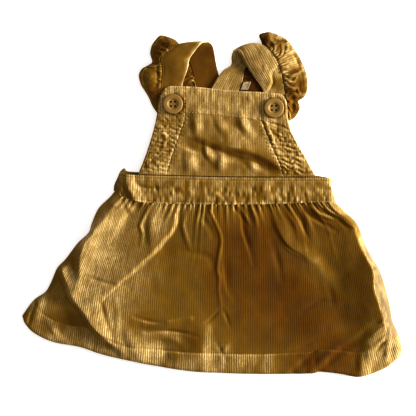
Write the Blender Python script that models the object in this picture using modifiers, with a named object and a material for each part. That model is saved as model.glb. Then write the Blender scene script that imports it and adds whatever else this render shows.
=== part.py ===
"""Pinafore dress in fine-wale corduroy for a baby, laid flat on its back.

Every table below is in millimetres, in the dress's own frame: +X to the viewer's right,
+Y from the hem to the straps, +Z up from the surface that it lies on.
Layers from the surface up: skirt and waistband backs with the crossed straps, the strap
ends with their ruffles, then bib, waistband front and skirt front, and the two buttons.
"""
import math
from collections import namedtuple

import bmesh
import bpy
from mathutils import Vector

MM = 0.001

# Walls and clearances.
CLOTH_WALL = 1.2
BAND_WALL = 2.0
BACK_BAND_WALL = 1.6
STRAP_WALL = 1.6
RUFFLE_WALL = 1.0
GAP = 0.3
SEAM_GAP = 0.45

# Middle of each wall above the surface.
BACK_HEIGHT = CLOTH_WALL / 2
FRONT_HEIGHT = 4.8
LOWEST_FRONT = CLOTH_WALL + GAP + CLOTH_WALL / 2
LOWEST_RUFFLE = RUFFLE_WALL / 2 + 0.1

# Skirt.
GATHERS = 32
COLUMNS_PER_GATHER = 3
SKIRT_ROWS = 20
ROW_SPREAD = 1.2
GATHER_HEIGHT = 1.25
GATHER_UNEVEN = 0.2
GATHER_LENGTH = 0.16
WAIST_DROP = 0.8
WAIST_DROP_END = 0.3
SIDE_ROLL = 7.0
HEM_WAVES = 5.5
HEM_WAVE_HEIGHT = 0.7
BACK_INSET = 1.2
BACK_HEM = 0.993
WAIST_ROLL = 5.0

# Bib and ruffles.
BIB_LIFT = 0.1
FOLDS_END = 0.2
WAVE_START = 0.6

# Buttons.
BUTTON_CENTRES = {"button_left": (-39.0, 99.7), "button_right": (61.8, 95.8)}
BUTTON_SEAT = 6.3
BUTTON_SIDES = 28
HOLE_RADIUS = 0.95
HOLE_OFFSET = 2.1
HOLE_SIDES = 6

# Shift that puts the middle of the whole dress at the origin.
CENTRE_SHIFT = (0.33, 0.50)

MUSTARD = (0.42, 0.23, 0.05)
MUSTARD_BACK = (0.32, 0.16, 0.035)
BUTTON_BROWN = (0.40, 0.24, 0.08)
LABEL_WHITE = (0.72, 0.64, 0.50)

# Outlines seen from above: x, y.
WAIST_TOP = [(-90.5, 30.5), (-84, 29.5), (-72, 28.8), (-32, 27.8), (8, 26.8), (50, 26.4),
             (88, 26.3), (119, 26.2)]
WAIST_SEAM = [(-97, 12.5), (-90, 7.2), (-77, 3), (-62, 0.6), (-37, -0.3), (10, -0.7),
              (56, -0.3), (91, 0.7), (110, 1.4), (124, 0.4)]
WAIST_LEFT = [(-90.5, 30.5), (-93.5, 26), (-95.5, 19), (-97, 12.5)]
WAIST_RIGHT = [(119, 26.2), (119, 18), (121.5, 9), (124, 0.4)]
BACK_WAIST_TOP = [(-92.4, 32.2), (-87.5, 36.2), (-81, 32.2), (-32, 31.8), (50, 31.6),
                  (85, 30.4), (118.4, 25.2)]
BACK_WAIST_LEFT = [(-92.4, 32.2), (-95, 26), (-98, 19), (-98.6, 13.5)]
HEM = [(-190.1, -112.2), (-186, -121), (-177, -129.5), (-159, -137.9), (-132, -143),
       (-114, -149), (-97, -153.5), (-68, -159.5), (-28, -166.2), (8, -168.8), (55, -169.9),
       (98, -169.3), (108, -167.5), (128, -169.6), (147.4, -172.6), (167, -166.8),
       (179, -160), (188.9, -151.4)]
SKIRT_LEFT = [(-96.8, 11.8), (-102.7, 6.2), (-113.5, -4.6), (-120, -19), (-123.5, -29),
              (-134.6, -39.7), (-146.7, -55.6), (-155, -64.5), (-161.4, -79.2),
              (-167.2, -88.5), (-179, -97), (-190.1, -112.2)]
SKIRT_RIGHT = [(124, -0.2), (132.6, -8), (140.7, -14.8), (146.8, -23.2), (153, -40.8),
               (161, -55.5), (168, -67.5), (174, -85.8), (178, -103), (180.8, -118),
               (186.2, -130), (189.5, -143), (188.9, -151.4)]
BIB_TOP = [(-27, 117.5), (-12, 116.5), (10, 114), (28, 112.7), (49, 111.7)]
BIB_SEAM_LEFT = [(-27, 117.5), (-27, 99), (-27.4, 85), (-32.4, 71), (-37, 58),
                 (-40.7, 47), (-46, 28.6)]
BIB_SEAM_RIGHT = [(49, 111.7), (49.2, 98), (49.4, 84), (56, 66), (61, 53.5), (66.8, 41),
                  (71.5, 27)]
BIB_EDGE_LEFT = [(-48, 114), (-51.5, 107), (-53.5, 99), (-55, 88), (-59.5, 69), (-66, 49),
                 (-73.6, 29.4)]
BIB_EDGE_RIGHT = [(69, 109.5), (73, 105), (74.8, 98), (75.6, 86), (79, 72.5), (86.2, 58.5),
                  (93.4, 46), (99.8, 34), (103.6, 27.2)]
SIDE_TOP_LEFT = [(-48, 114), (-45.5, 116.6), (-41, 117.6), (-27, 117.5)]
SIDE_TOP_RIGHT = [(49, 111.7), (58, 110.6), (66, 110.2), (69, 109.5)]

# Straps, a row for each section from the button end over the shoulder to the back waist.
Section = namedtuple("Section", "neck_x neck_y ruffle_x ruffle_y height bow")
STRAP_LEFT = [
    Section(-27.0, 85.0, -52.5, 85.0, 2.8, 0.0),
    Section(-28.0, 100.0, -53.0, 100.0, 2.8, 0.0),
    Section(-30.0, 116.0, -51.2, 116.0, 2.9, 0.0),
    Section(-27.5, 127.0, -50.8, 126.0, 4.3, 0.0),
    Section(-24.4, 136.0, -50.2, 137.0, 6.5, 0.0),
    Section(-22.5, 145.0, -52.0, 144.5, 8.2, 0.0),
    Section(-17.0, 153.0, -44.0, 151.5, 8.9, 0.0),
    Section(-12.0, 159.0, -37.0, 156.5, 8.3, 0.6),
    Section(-7.5, 161.7, -32.5, 159.4, 5.8, 0.8),
    Section(-2.5, 161.2, -30.0, 157.5, 3.2, 0.6),
    Section(1.0, 157.0, -26.0, 152.0, 1.6, 0.0),
    Section(4.0, 141.0, -22.0, 140.0, 0.8, 0.0),
    Section(6.0, 132.0, -18.5, 128.0, 0.8, 0.0),
    Section(10.0, 117.0, -15.0, 114.0, 0.8, 0.0),
    Section(16.0, 92.0, -10.0, 89.0, 0.8, 0.0),
    Section(24.0, 64.0, -2.0, 61.0, 0.8, 0.0),
    Section(32.0, 32.6, 6.0, 32.4, 0.8, 0.0),
]
STRAP_RIGHT = [
    Section(50.5, 83.0, 74.0, 85.0, 2.8, 0.0),
    Section(50.8, 96.0, 73.5, 98.0, 2.8, 0.0),
    Section(51.5, 112.0, 72.2, 114.5, 3.1, 0.0),
    Section(46.0, 122.5, 70.0, 126.6, 4.8, 0.0),
    Section(38.6, 132.3, 67.3, 135.5, 7.2, 0.0),
    Section(32.5, 141.5, 64.0, 143.0, 8.8, 0.0),
    Section(29.0, 148.5, 59.0, 151.0, 9.2, 1.5),
    Section(25.5, 152.5, 54.8, 155.8, 8.4, 3.0),
    Section(21.2, 152.2, 50.6, 158.4, 5.8, 4.0),
    Section(19.6, 147.0, 47.0, 155.2, 3.2, 2.5),
    Section(19.0, 139.2, 42.0, 147.0, 2.7, 1.0),
    Section(10.5, 133.0, 33.5, 136.0, 2.7, 0.0),
    Section(1.5, 120.0, 29.5, 120.0, 2.7, 0.0),
    Section(-9.0, 100.0, 19.0, 98.0, 2.7, 0.0),
    Section(-21.0, 72.0, 5.0, 69.0, 2.7, 0.0),
    Section(-28.0, 46.0, -2.5, 44.0, 2.7, 0.0),
    Section(-31.0, 32.6, -5.5, 32.4, 0.8, 0.0),
]

# Ruffles, a row for each gather: the strap section that it is sewn to (a fraction is a
# place between two of them), the clearance of that seam, its outer edge and the height of
# its wave there.
Frill = namedtuple("Frill", "section seam x y height wave")
RUFFLE_LEFT = [
    Frill(0.55, 0.45, -54.4, 90.5, 2.6, 0.2),
    Frill(1.00, 0.45, -59.4, 98.0, 2.4, 0.5),
    Frill(1.50, 0.45, -63.4, 107.0, 2.0, 0.8),
    Frill(2.00, 0.45, -67.6, 114.0, 1.8, 1.0),
    Frill(2.50, 0.45, -71.4, 120.5, 2.2, 1.2),
    Frill(3.00, 0.45, -73.1, 129.0, 2.6, 1.2),
    Frill(3.50, 0.45, -70.0, 135.0, 3.4, 1.2),
    Frill(4.20, 0.45, -63.5, 138.8, 3.2, 1.0),
    Frill(4.80, 0.45, -59.6, 142.7, 2.4, 0.8),
    Frill(5.30, 0.45, -61.6, 151.0, 3.2, 1.0),
    Frill(5.70, 0.45, -59.4, 159.5, 4.4, 1.2),
    Frill(6.20, 0.45, -52.5, 167.8, 5.2, 1.2),
    Frill(6.80, 0.45, -45.5, 167.2, 5.6, 1.0),
    Frill(7.50, 0.80, -38.0, 164.2, 5.4, 0.4),
    Frill(8.30, 1.40, -35.5, 161.5, 4.2, 0.0),
    Frill(9.00, 0.90, -37.0, 155.5, 2.4, 0.0),
    Frill(9.80, 0.45, -38.0, 144.0, 1.5, 0.3),
    Frill(10.60, 0.45, -37.5, 133.0, 1.3, 0.3),
    Frill(11.50, 0.45, -34.0, 123.0, 1.3, 0.5),
    Frill(12.30, 0.45, -28.0, 114.5, 1.3, 0.5),
    Frill(13.00, 0.45, -22.0, 107.0, 1.1, 0.2),
]
RUFFLE_RIGHT = [
    Frill(0.00, 0.45, 76.8, 83.0, 2.4, 0.2),
    Frill(0.50, 0.45, 83.5, 87.5, 2.4, 0.6),
    Frill(1.00, 0.45, 88.0, 96.5, 2.6, 0.9),
    Frill(1.40, 0.45, 86.6, 103.0, 2.0, 1.0),
    Frill(1.80, 0.45, 93.0, 108.0, 2.6, 1.2),
    Frill(2.20, 0.45, 95.7, 117.0, 2.4, 1.4),
    Frill(2.80, 0.45, 95.3, 127.0, 2.6, 1.5),
    Frill(3.60, 0.45, 92.0, 137.5, 3.0, 1.5),
    Frill(4.40, 0.45, 87.8, 146.5, 3.6, 1.6),
    Frill(5.20, 0.45, 82.5, 154.5, 4.2, 1.6),
    Frill(6.00, 0.45, 75.5, 163.5, 4.6, 1.5),
    Frill(6.60, 0.60, 67.0, 168.5, 5.2, 1.3),
    Frill(7.20, 1.20, 57.5, 171.6, 5.6, 1.0),
    Frill(7.80, 1.60, 48.0, 169.6, 5.6, 0.3),
    Frill(8.30, 2.00, 49.0, 165.0, 4.2, 0.0),
    Frill(9.00, 1.00, 57.0, 157.0, 2.2, 0.0),
    Frill(9.60, 0.45, 57.5, 147.0, 1.5, 0.3),
    Frill(10.30, 0.45, 57.0, 137.0, 1.4, 0.3),
    Frill(11.00, 0.45, 54.5, 128.0, 1.3, 0.4),
    Frill(11.60, 0.45, 50.5, 119.5, 1.2, 0.4),
    Frill(12.20, 0.45, 45.0, 111.5, 1.1, 0.3),
    Frill(12.80, 0.45, 36.0, 104.0, 1.1, 0.2),
]

# The label lies on the right ruffle, between two sections of the strap.
LABEL_SECTIONS = (11.88, 12.28)
LABEL_START = 1.2
LABEL_WIDTH = 7.5
LABEL_RISE = 1.3
LABEL_WALL = 1.0

# Folds of the front, a row for each: its height where it starts, half way and where it
# ends, how far it reaches to the west and east of a line that runs down the dress (to
# the north-west and south-east of one that runs down to the left), and that line.
Fold = namedtuple("Fold", "start middle end west east line")
SKIRT_FOLDS = {
    "left_ridge": Fold(4, 8.5, 5, 11, 24,
                       [(-90, 2), (-104, -11), (-115, -23), (-121, -39), (-127, -56), (-129, -76)]),
    "flap_step": Fold(0.5, 5, 2, 26, 5,
                      [(-35, -3), (-37, -17), (-48, -35), (-62, -48), (-82, -64), (-110, -92)]),
    "lower_ridge": Fold(5, 8.5, 3, 11, 20,
                        [(-148, -62), (-143, -74), (-136, -86), (-127, -99), (-117, -113),
                         (-105, -128), (-91, -146)]),
    "corner_swell": Fold(2, 4, 3, 12, 14, [(-162, -84), (-169, -99), (-172, -116)]),
    "elbow": Fold(1, 2.5, 1, 6, 5, [(-110, -93), (-107, -104), (-108.5, -113), (-116, -120)]),
    "streak": Fold(1, 1.8, 1, 9, 9, [(-98, -88), (-95, -108), (-91, -131)]),
    "lens_ridge": Fold(1, 2.6, 1, 7, 6, [(-73, -123), (-57, -123.5), (-36, -121)]),
    "lens_foot": Fold(-0.6, -1.0, -0.6, 6, 6, [(-57, -127), (-40, -128), (-30, -130), (-24, -138)]),
    "centre": Fold(2, 2.6, 1.6, 7, 5,
                   [(-4, -3), (5, -16), (8, -30), (6.7, -50), (6.7, -76), (8, -103), (13, -115)]),
    "right_crease": Fold(1.5, 3.4, 1, 6, 12,
                         [(52, -4), (63, -20), (71, -32), (80, -45.6), (91, -50), (108.5, -67)]),
    "right_valley": Fold(-1, -1.2, -0.6, 6, 6, [(52, -7), (63, -29), (68, -46), (68, -62)]),
    "mid_valley": Fold(-1, -1, -0.4, 6, 6, [(27, -7), (32, -20), (32, -32), (37.5, -47)]),
    "hip_upper": Fold(1, 2.6, 1.5, 5, 6, [(106, -1), (123, -12.5), (131.5, -17), (144, -24)]),
    "hip_lower": Fold(1, 2.2, 1.2, 5, 5, [(97, -4), (111, -12.5), (119.6, -17.4), (133, -19.5)]),
    "right_roll": Fold(5, 13, 9, 40, 13,
                       [(144, -23), (151, -43), (158, -62), (164, -81), (169, -101),
                        (174, -126), (177, -142)]),
    "hem_dip_left": Fold(-0.6, -1.2, -1, 7, 7, [(101, -149), (93, -157), (81, -167)]),
    "hem_dip_right": Fold(-2, -3, -1, 8, 8,
                          [(162, -121), (154, -130), (142.6, -137), (126, -147), (104.5, -167)]),
    "hem_rise_left": Fold(1, 2, 1.5, 8, 8, [(120, -148), (108, -158), (99, -168)]),
    "hem_rise_right": Fold(3, 4, 3, 7, 7, [(168, -132), (158, -148), (152, -159), (148, -172)]),
}
WAIST_FOLDS = {
    "left_bulge": Fold(2.5, 4, 2.5, 8, 9, [(-84, 31), (-83.5, 18), (-79, 9), (-74, 0)]),
    "left_crease": Fold(-0.6, -0.8, -0.3, 5, 5, [(-75, 28), (-72, 19), (-65, 15.5), (-46, 15)]),
    "right_crease": Fold(-0.3, -0.7, -0.9, 5, 5, [(91, 13), (105, 14.5), (121, 16.8)]),
}
BIB_FOLDS = {
    "diagonal": Fold(-0.5, -0.7, -0.4, 8, 8,
                     [(-9, 66), (4, 59), (18, 53), (35, 49), (52, 43), (65, 33)]),
    "above_diagonal": Fold(0.8, 1.6, 0.8, 10, 10, [(2, 70), (20, 62), (38, 58)]),
    "right_rise": Fold(0.6, 1.4, 0.6, 6, 8, [(34, 86), (38, 76), (46, 65), (54, 56)]),
    "left_trough": Fold(-0.3, -0.6, -0.2, 6, 6, [(-22, 91), (-16, 80), (-14, 66)]),
    "left_rise": Fold(0.5, 1.5, 0.6, 8, 8, [(-20, 32), (-15, 42), (-8, 52)]),
    "lower_rise": Fold(0.4, 1.2, 0.4, 7, 7, [(7, 52), (20, 40), (26, 30)]),
    "far_rise": Fold(0.4, 1.0, 0.4, 6, 6, [(38, 41), (48, 30)]),
}


def clear_scene():
    for thing in list(bpy.data.objects):
        bpy.data.objects.remove(thing, do_unlink=True)


def collection(name):
    group = bpy.data.collections.new(name)
    bpy.context.scene.collection.children.link(group)
    return group


def finish(name, colour, roughness):
    material = bpy.data.materials.new(name)
    material.use_nodes = True
    shader = material.node_tree.nodes["Principled BSDF"]
    shader.inputs["Base Color"].default_value = (*colour, 1.0)
    shader.inputs["Roughness"].default_value = roughness
    shader.inputs["Metallic"].default_value = 0.0
    return material


def spline(points, place):
    """Catmull-Rom curve through the points; place counts them, 0 at the first."""
    last = len(points) - 1
    index = min(int(max(place, 0.0)), last - 1)
    s = place - index
    b = Vector(points[index])
    c = Vector(points[index + 1])
    a = Vector(points[index - 1]) if index > 0 else 2 * b - c
    d = Vector(points[index + 2]) if index + 2 <= last else 2 * c - b
    return 0.5 * (2 * b + (c - a) * s + (2 * a - 5 * b + 4 * c - d) * s * s
                  + (3 * b - a - 3 * c + d) * s ** 3)


def even_line(points, steps=12):
    """The curve through the points as a function of the share of its length, 0 to 1."""
    dense = [spline(points, k / steps) for k in range(steps * (len(points) - 1) + 1)]
    lengths = [0.0]
    for here, there in zip(dense, dense[1:]):
        lengths.append(lengths[-1] + (there - here).length)

    def at(share):
        wanted = min(max(share, 0.0), 1.0) * lengths[-1]
        k = 0
        while k < len(dense) - 2 and lengths[k + 1] < wanted:
            k += 1
        part = (wanted - lengths[k]) / (lengths[k + 1] - lengths[k])
        return dense[k].lerp(dense[k + 1], part)

    return at


def moved(points, dx=0.0, dy=0.0):
    return [(x + dx, y + dy) for x, y in points]


def patch(top, bottom, left, right):
    """Places between four edge lines: u from left to right, v from top to bottom."""
    top, bottom, left, right = (even_line(edge) for edge in (top, bottom, left, right))

    def at(u, v):
        edges = top(u) * (1 - v) + bottom(u) * v + left(v) * (1 - u) + right(v) * u
        top_corners = top(0) * (1 - u) + top(1) * u
        bottom_corners = bottom(0) * (1 - u) + bottom(1) * u
        return edges - top_corners * (1 - v) - bottom_corners * v

    return at


def ease(x):
    x = min(max(x, 0.0), 1.0)
    return x * x * (3 - 2 * x)


def fold_height(fold, spot):
    """Height that one fold adds at a spot: a rounded ridge, or a trough where negative."""
    best = None
    run = 0.0
    line = [Vector(point) for point in fold.line]
    for here, there in zip(line, line[1:]):
        step = there - here
        part = min(max((spot - here).dot(step) / step.length_squared, 0.0), 1.0)
        away = spot - (here + step * part)
        side = step.x * away.y - step.y * away.x
        if best is None or away.length < best[0]:
            best = (away.length, side, run + step.length * part)
        run += step.length
    distance, side, travelled = best
    reach = fold.east if side > 0 else fold.west
    if distance >= reach:
        return 0.0
    share = 2 * travelled / run
    height = (fold.start + (fold.middle - fold.start) * ease(share) if share < 1
              else fold.middle + (fold.end - fold.middle) * ease(share - 1))
    return height * 0.5 * (1 + math.cos(math.pi * distance / reach))


def relief(folds, spot):
    return sum(fold_height(fold, spot) for fold in folds.values())


def cloth(name, group, place, columns, rows, wall, material):
    """A grid of cloth whose point (u, v) lies at place(u, v), thickened to its wall."""
    mesh = bpy.data.meshes.new(name)
    grid = bmesh.new()
    bmesh.ops.create_grid(grid, x_segments=columns, y_segments=rows, size=0.5)
    shift = Vector((*CENTRE_SHIFT, 0.0))
    for vert in grid.verts:
        u = round((vert.co.x + 0.5) * columns) / columns
        v = round((0.5 - vert.co.y) * rows) / rows
        vert.co = (place(u, v) + shift) * MM
    grid.to_mesh(mesh)
    grid.free()
    mesh.shade_smooth()
    mesh.materials.append(material)
    piece = bpy.data.objects.new(name, mesh)
    group.objects.link(piece)
    thick = piece.modifiers.new("Wall", "SOLIDIFY")
    thick.thickness = wall * MM
    thick.offset = 0.0
    return piece


def skirt_front(group, material):
    across = patch(moved(WAIST_SEAM, dy=-SEAM_GAP), HEM, SKIRT_LEFT, SKIRT_RIGHT)
    columns = GATHERS * COLUMNS_PER_GATHER

    def place(u, v):
        down = v ** ROW_SPREAD
        spot = across(u, down)
        gather = math.cos(2 * math.pi * GATHERS * u)
        gather *= 1 - GATHER_UNEVEN * (1 - math.sin(23 * u))
        gather *= GATHER_HEIGHT * math.exp(-down / GATHER_LENGTH) * ease(min(u, 1 - u) * 24)
        hem_wave = HEM_WAVE_HEIGHT * math.sin(2 * math.pi * HEM_WAVES * u) * down
        height = FRONT_HEIGHT - WAIST_DROP * ease(down / WAIST_DROP_END) + gather + hem_wave
        height += relief(SKIRT_FOLDS, spot)
        side = min((spot - across(0, down)).length, (spot - across(1, down)).length)
        roll = math.sin(0.5 * math.pi * min(side / SIDE_ROLL, 1.0))
        height = LOWEST_FRONT + max(height - LOWEST_FRONT, 0.0) * roll
        return Vector((spot.x, spot.y, height))

    return cloth("skirt_front", group, place, columns, SKIRT_ROWS, CLOTH_WALL, material)


def skirt_back(group, material):
    across = patch(moved(WAIST_SEAM, dy=-SEAM_GAP), HEM, SKIRT_LEFT, SKIRT_RIGHT)

    def place(u, v):
        width = (across(1, v) - across(0, v)).length
        inset = BACK_INSET / width
        spot = across(inset + u * (1 - 2 * inset), v * BACK_HEM)
        return Vector((spot.x, spot.y, BACK_HEIGHT))

    return cloth("skirt_back", group, place, 22, 8, CLOTH_WALL, material)


def waistband_front(group, material):
    across = patch(WAIST_TOP, WAIST_SEAM, WAIST_LEFT, WAIST_RIGHT)
    end_height = BACK_BAND_WALL + GAP + BAND_WALL / 2

    def place(u, v):
        spot = across(u, v)
        height = FRONT_HEIGHT + relief(WAIST_FOLDS, spot)
        side = min(u, 1 - u) * (WAIST_TOP[-1][0] - WAIST_TOP[0][0])
        roll = math.sin(0.5 * math.pi * min(side / WAIST_ROLL, 1.0))
        height = end_height + (height - end_height) * roll
        return Vector((spot.x, spot.y, height))

    return cloth("waistband_front", group, place, 36, 4, BAND_WALL, material)


def waistband_back(group, material):
    across = patch(BACK_WAIST_TOP, WAIST_SEAM, BACK_WAIST_LEFT, WAIST_RIGHT)

    def place(u, v):
        spot = across(u, v)
        return Vector((spot.x, spot.y, BACK_BAND_WALL / 2))

    return cloth("waistband_back", group, place, 20, 2, BACK_BAND_WALL, material)


def bib_panel(name, group, material, edges, columns):
    """One panel of the bib, cut a little smaller than its four edge lines."""
    across = patch(*edges)

    def place(u, v):
        width = (across(1, v) - across(0, v)).length
        inset = SEAM_GAP / 2 / width
        spot = across(inset + u * (1 - 2 * inset), v)
        spot.y += SEAM_GAP * v
        height = FRONT_HEIGHT + BIB_LIFT + relief(BIB_FOLDS, spot) * ease((1 - v) / FOLDS_END)
        return Vector((spot.x, spot.y, height))

    return cloth(name, group, place, columns, 16, CLOTH_WALL, material)


def bib(group, material):
    top = even_line(WAIST_TOP)

    def bottom(start, end):
        """The waistband's top edge between two lengthwise places."""
        width = WAIST_TOP[-1][0] - WAIST_TOP[0][0]
        shares = [(x - WAIST_TOP[0][0]) / width for x in (start, (start + end) / 2, end)]
        return [tuple(top(share)) for share in shares]

    left, right = BIB_SEAM_LEFT[-1][0], BIB_SEAM_RIGHT[-1][0]
    bib_panel("bib_centre", group, material,
              (BIB_TOP, bottom(left, right), BIB_SEAM_LEFT, BIB_SEAM_RIGHT), 14)
    bib_panel("bib_side_left", group, material,
              (SIDE_TOP_LEFT, bottom(BIB_EDGE_LEFT[-1][0], left), BIB_EDGE_LEFT, BIB_SEAM_LEFT), 6)
    bib_panel("bib_side_right", group, material,
              (SIDE_TOP_RIGHT, bottom(right, BIB_EDGE_RIGHT[-1][0]), BIB_SEAM_RIGHT,
               BIB_EDGE_RIGHT), 6)


def strap_point(sections, place, across):
    """A place on a strap: across is 0 at the neck side and 1 at the ruffle side."""
    row = Section(*spline(sections, place))
    x = row.neck_x + (row.ruffle_x - row.neck_x) * across
    y = row.neck_y + (row.ruffle_y - row.neck_y) * across
    height = max(row.height, STRAP_WALL / 2)
    return Vector((x, y + row.bow * 4 * across * (1 - across), height))


def beside_strap(sections, place, away):
    """A place in the strap's plane, a little way out from its ruffle side."""
    edge = strap_point(sections, place, 1.0)
    out = edge - strap_point(sections, place, 0.8)
    return edge + out.normalized() * away


def strap(name, group, material, sections):
    last = len(sections) - 1

    def place(u, v):
        return strap_point(sections, v * last, u)

    return cloth(name, group, place, 4, last * 2, STRAP_WALL, material)


def ruffle(name, group, material, frills, sections):
    """A gathered strip: one wave for each row, small at the strap and full at its edge."""
    last = len(frills) - 1

    def place(u, v):
        row = Frill(*spline(frills, v * last))
        inner = beside_strap(sections, row.section, row.seam)
        spot = inner.lerp(Vector((row.x, row.y, row.height)), u)
        spot.z += row.wave * math.cos(2 * math.pi * v * last) * ease(u / WAVE_START)
        spot.z = max(spot.z, LOWEST_RUFFLE)
        return spot

    return cloth(name, group, place, 6, last * 3, RUFFLE_WALL, material)


def label(group, material):
    start, end = LABEL_SECTIONS

    def place(u, v):
        away = LABEL_START + LABEL_WIDTH * u
        spot = beside_strap(STRAP_RIGHT, start + (end - start) * v, away)
        return spot + Vector((0, 0, LABEL_RISE))

    return cloth("label", group, place, 2, 3, LABEL_WALL, material)


def button(name, group, cutters, material):
    """A turned four-hole button with a raised rim and a dished middle."""
    # Radius and height of the turned profile, from the middle of the top to the underside.
    profile = [(0, 1.5), (5.0, 1.5), (6.0, 2.5), (7.8, 2.6), (8.4, 3.1), (9.3, 3.1),
               (10.0, 2.3), (9.6, 0.7), (8.4, 0), (0, 0)]
    mesh = bpy.data.meshes.new(name)
    outline = bmesh.new()
    corners = [outline.verts.new((radius * MM, 0, height * MM)) for radius, height in profile]
    for here, there in zip(corners, corners[1:]):
        outline.edges.new((here, there))
    outline.to_mesh(mesh)
    outline.free()
    mesh.materials.append(material)
    piece = bpy.data.objects.new(name, mesh)
    group.objects.link(piece)
    x, y = BUTTON_CENTRES[name]
    piece.location = Vector((x + CENTRE_SHIFT[0], y + CENTRE_SHIFT[1], BUTTON_SEAT)) * MM
    turn = piece.modifiers.new("Turned", "SCREW")
    turn.steps = BUTTON_SIDES
    turn.render_steps = BUTTON_SIDES
    turn.use_merge_vertices = True
    turn.merge_threshold = 0.01 * MM
    holes = four_holes(name + "_holes", cutters)
    holes.location = piece.location
    cut = piece.modifiers.new("Holes", "BOOLEAN")
    cut.operation = "DIFFERENCE"
    cut.object = holes
    return piece


def four_holes(name, cutters):
    mesh = bpy.data.meshes.new(name)
    pins = bmesh.new()
    for dx in (-HOLE_OFFSET, HOLE_OFFSET):
        for dy in (-HOLE_OFFSET, HOLE_OFFSET):
            pin = bmesh.ops.create_cone(pins, cap_ends=True, segments=HOLE_SIDES,
                                        radius1=HOLE_RADIUS * MM, radius2=HOLE_RADIUS * MM,
                                        depth=10 * MM)
            bmesh.ops.translate(pins, verts=pin["verts"], vec=Vector((dx, dy, 0)) * MM)
    pins.to_mesh(mesh)
    pins.free()
    holes = bpy.data.objects.new(name, mesh)
    holes.hide_render = True
    holes.display_type = "WIRE"
    cutters.objects.link(holes)
    return holes


def main():
    clear_scene()
    dress = collection("pinafore_dress")
    cutters = collection("cutters")
    cord = finish("corduroy", MUSTARD, 0.85)
    inner = finish("corduroy_inside", MUSTARD_BACK, 0.9)
    plastic = finish("button_plastic", BUTTON_BROWN, 0.35)
    blank = finish("label_cloth", LABEL_WHITE, 0.8)
    skirt_back(dress, inner)
    waistband_back(dress, inner)
    skirt_front(dress, cord)
    waistband_front(dress, cord)
    bib(dress, cord)
    strap("strap_left", dress, cord, STRAP_LEFT)
    strap("strap_right", dress, cord, STRAP_RIGHT)
    ruffle("ruffle_left", dress, cord, RUFFLE_LEFT, STRAP_LEFT)
    ruffle("ruffle_right", dress, cord, RUFFLE_RIGHT, STRAP_RIGHT)
    label(dress, blank)
    for name in BUTTON_CENTRES:
        button(name, dress, cutters, plastic)


main()
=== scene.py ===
"""Pinafore dress in mustard corduroy, laid flat on a pale floor: the finish of every piece.

Tables are in millimetres in the dress's own frame: +X to the viewer's right, +Y from the hem
to the straps, +Z up from the floor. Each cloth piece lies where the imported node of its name
lies and replaces it, with its smaller folds, gathers, seams and stitches added.
"""
import math
from collections import namedtuple

import bmesh
import bpy
import numpy as np
from bpy.props import FloatProperty, FloatVectorProperty, IntProperty, PointerProperty
from mathutils import Matrix, Vector


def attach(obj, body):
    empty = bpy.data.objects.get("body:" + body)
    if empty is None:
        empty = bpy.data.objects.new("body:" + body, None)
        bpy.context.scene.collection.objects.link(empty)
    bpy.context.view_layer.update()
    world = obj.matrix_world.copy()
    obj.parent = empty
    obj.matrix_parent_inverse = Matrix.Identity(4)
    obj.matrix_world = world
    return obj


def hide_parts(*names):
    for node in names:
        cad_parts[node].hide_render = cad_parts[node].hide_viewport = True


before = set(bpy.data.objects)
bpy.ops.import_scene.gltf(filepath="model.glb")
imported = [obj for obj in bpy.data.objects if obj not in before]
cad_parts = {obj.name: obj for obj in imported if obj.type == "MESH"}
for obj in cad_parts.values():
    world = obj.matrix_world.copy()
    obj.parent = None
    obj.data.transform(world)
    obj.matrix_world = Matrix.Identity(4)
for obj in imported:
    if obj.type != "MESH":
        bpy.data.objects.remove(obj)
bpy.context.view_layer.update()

bl_info = {
    "name": "Corduroy Pinafore Dress",
    "version": (1, 0, 0),
    "blender": (4, 5, 0),
    "location": "View3D > Sidebar > Dress",
    "description": "Builds a baby's pinafore dress with gathered skirt, bib, straps and ruffles",
    "category": "Add Mesh",
}

MM = 0.001
# Added to the tables' x, y to bring them into the frame, in mm.
CENTRE_SHIFT = (0.33, 0.50)
# Width and middle of what the camera sees at the height of the cloth, in metres.
VIEW_WIDTH = 0.416
VIEW_CENTRE = (-0.00367, -0.0035)

# Walls and clearances.
CLOTH_WALL = 1.2
BAND_WALL = 2.0
BACK_BAND_WALL = 1.6
STRAP_WALL = 1.6
RUFFLE_WALL = 1.0
LABEL_WALL = 0.5
GAP = 0.3
# How far the foot of the bib stays off the waistband.
SEAM_GAP = 0.3
# How far the skirt's front and the ruffles run on into their seams.
SEWN_IN = 0.4

# Widths and lengths of pieces, and how far from an edge its roll reaches.
BIB_LENGTH = 88.0
STRAP_WIDTH = 26.0
RUFFLE_WIDTH = 18.0
SIDE_ROLL = 7.0
HEM_ROLL = 2.5
BAND_ROLL = 5.0
# How far the skirt's gathered edge lies below the middle of the band.
GATHER_DROP = 0.6
# How far the skirt's back stays inside the front at its sides, and its share of the length.
BACK_INSET = 1.2
BACK_LENGTH = 0.993
# Rows of the skirt's grid lie closer together near the waist.
ROW_SPREAD = 1.15

# Middle of each wall above the floor.
BACK_HEIGHT = CLOTH_WALL / 2
FRONT_HEIGHT = 4.8
LOWEST_FRONT = CLOTH_WALL + GAP + CLOTH_WALL / 2
LOWEST_RUFFLE = RUFFLE_WALL / 2 + 0.1

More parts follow.
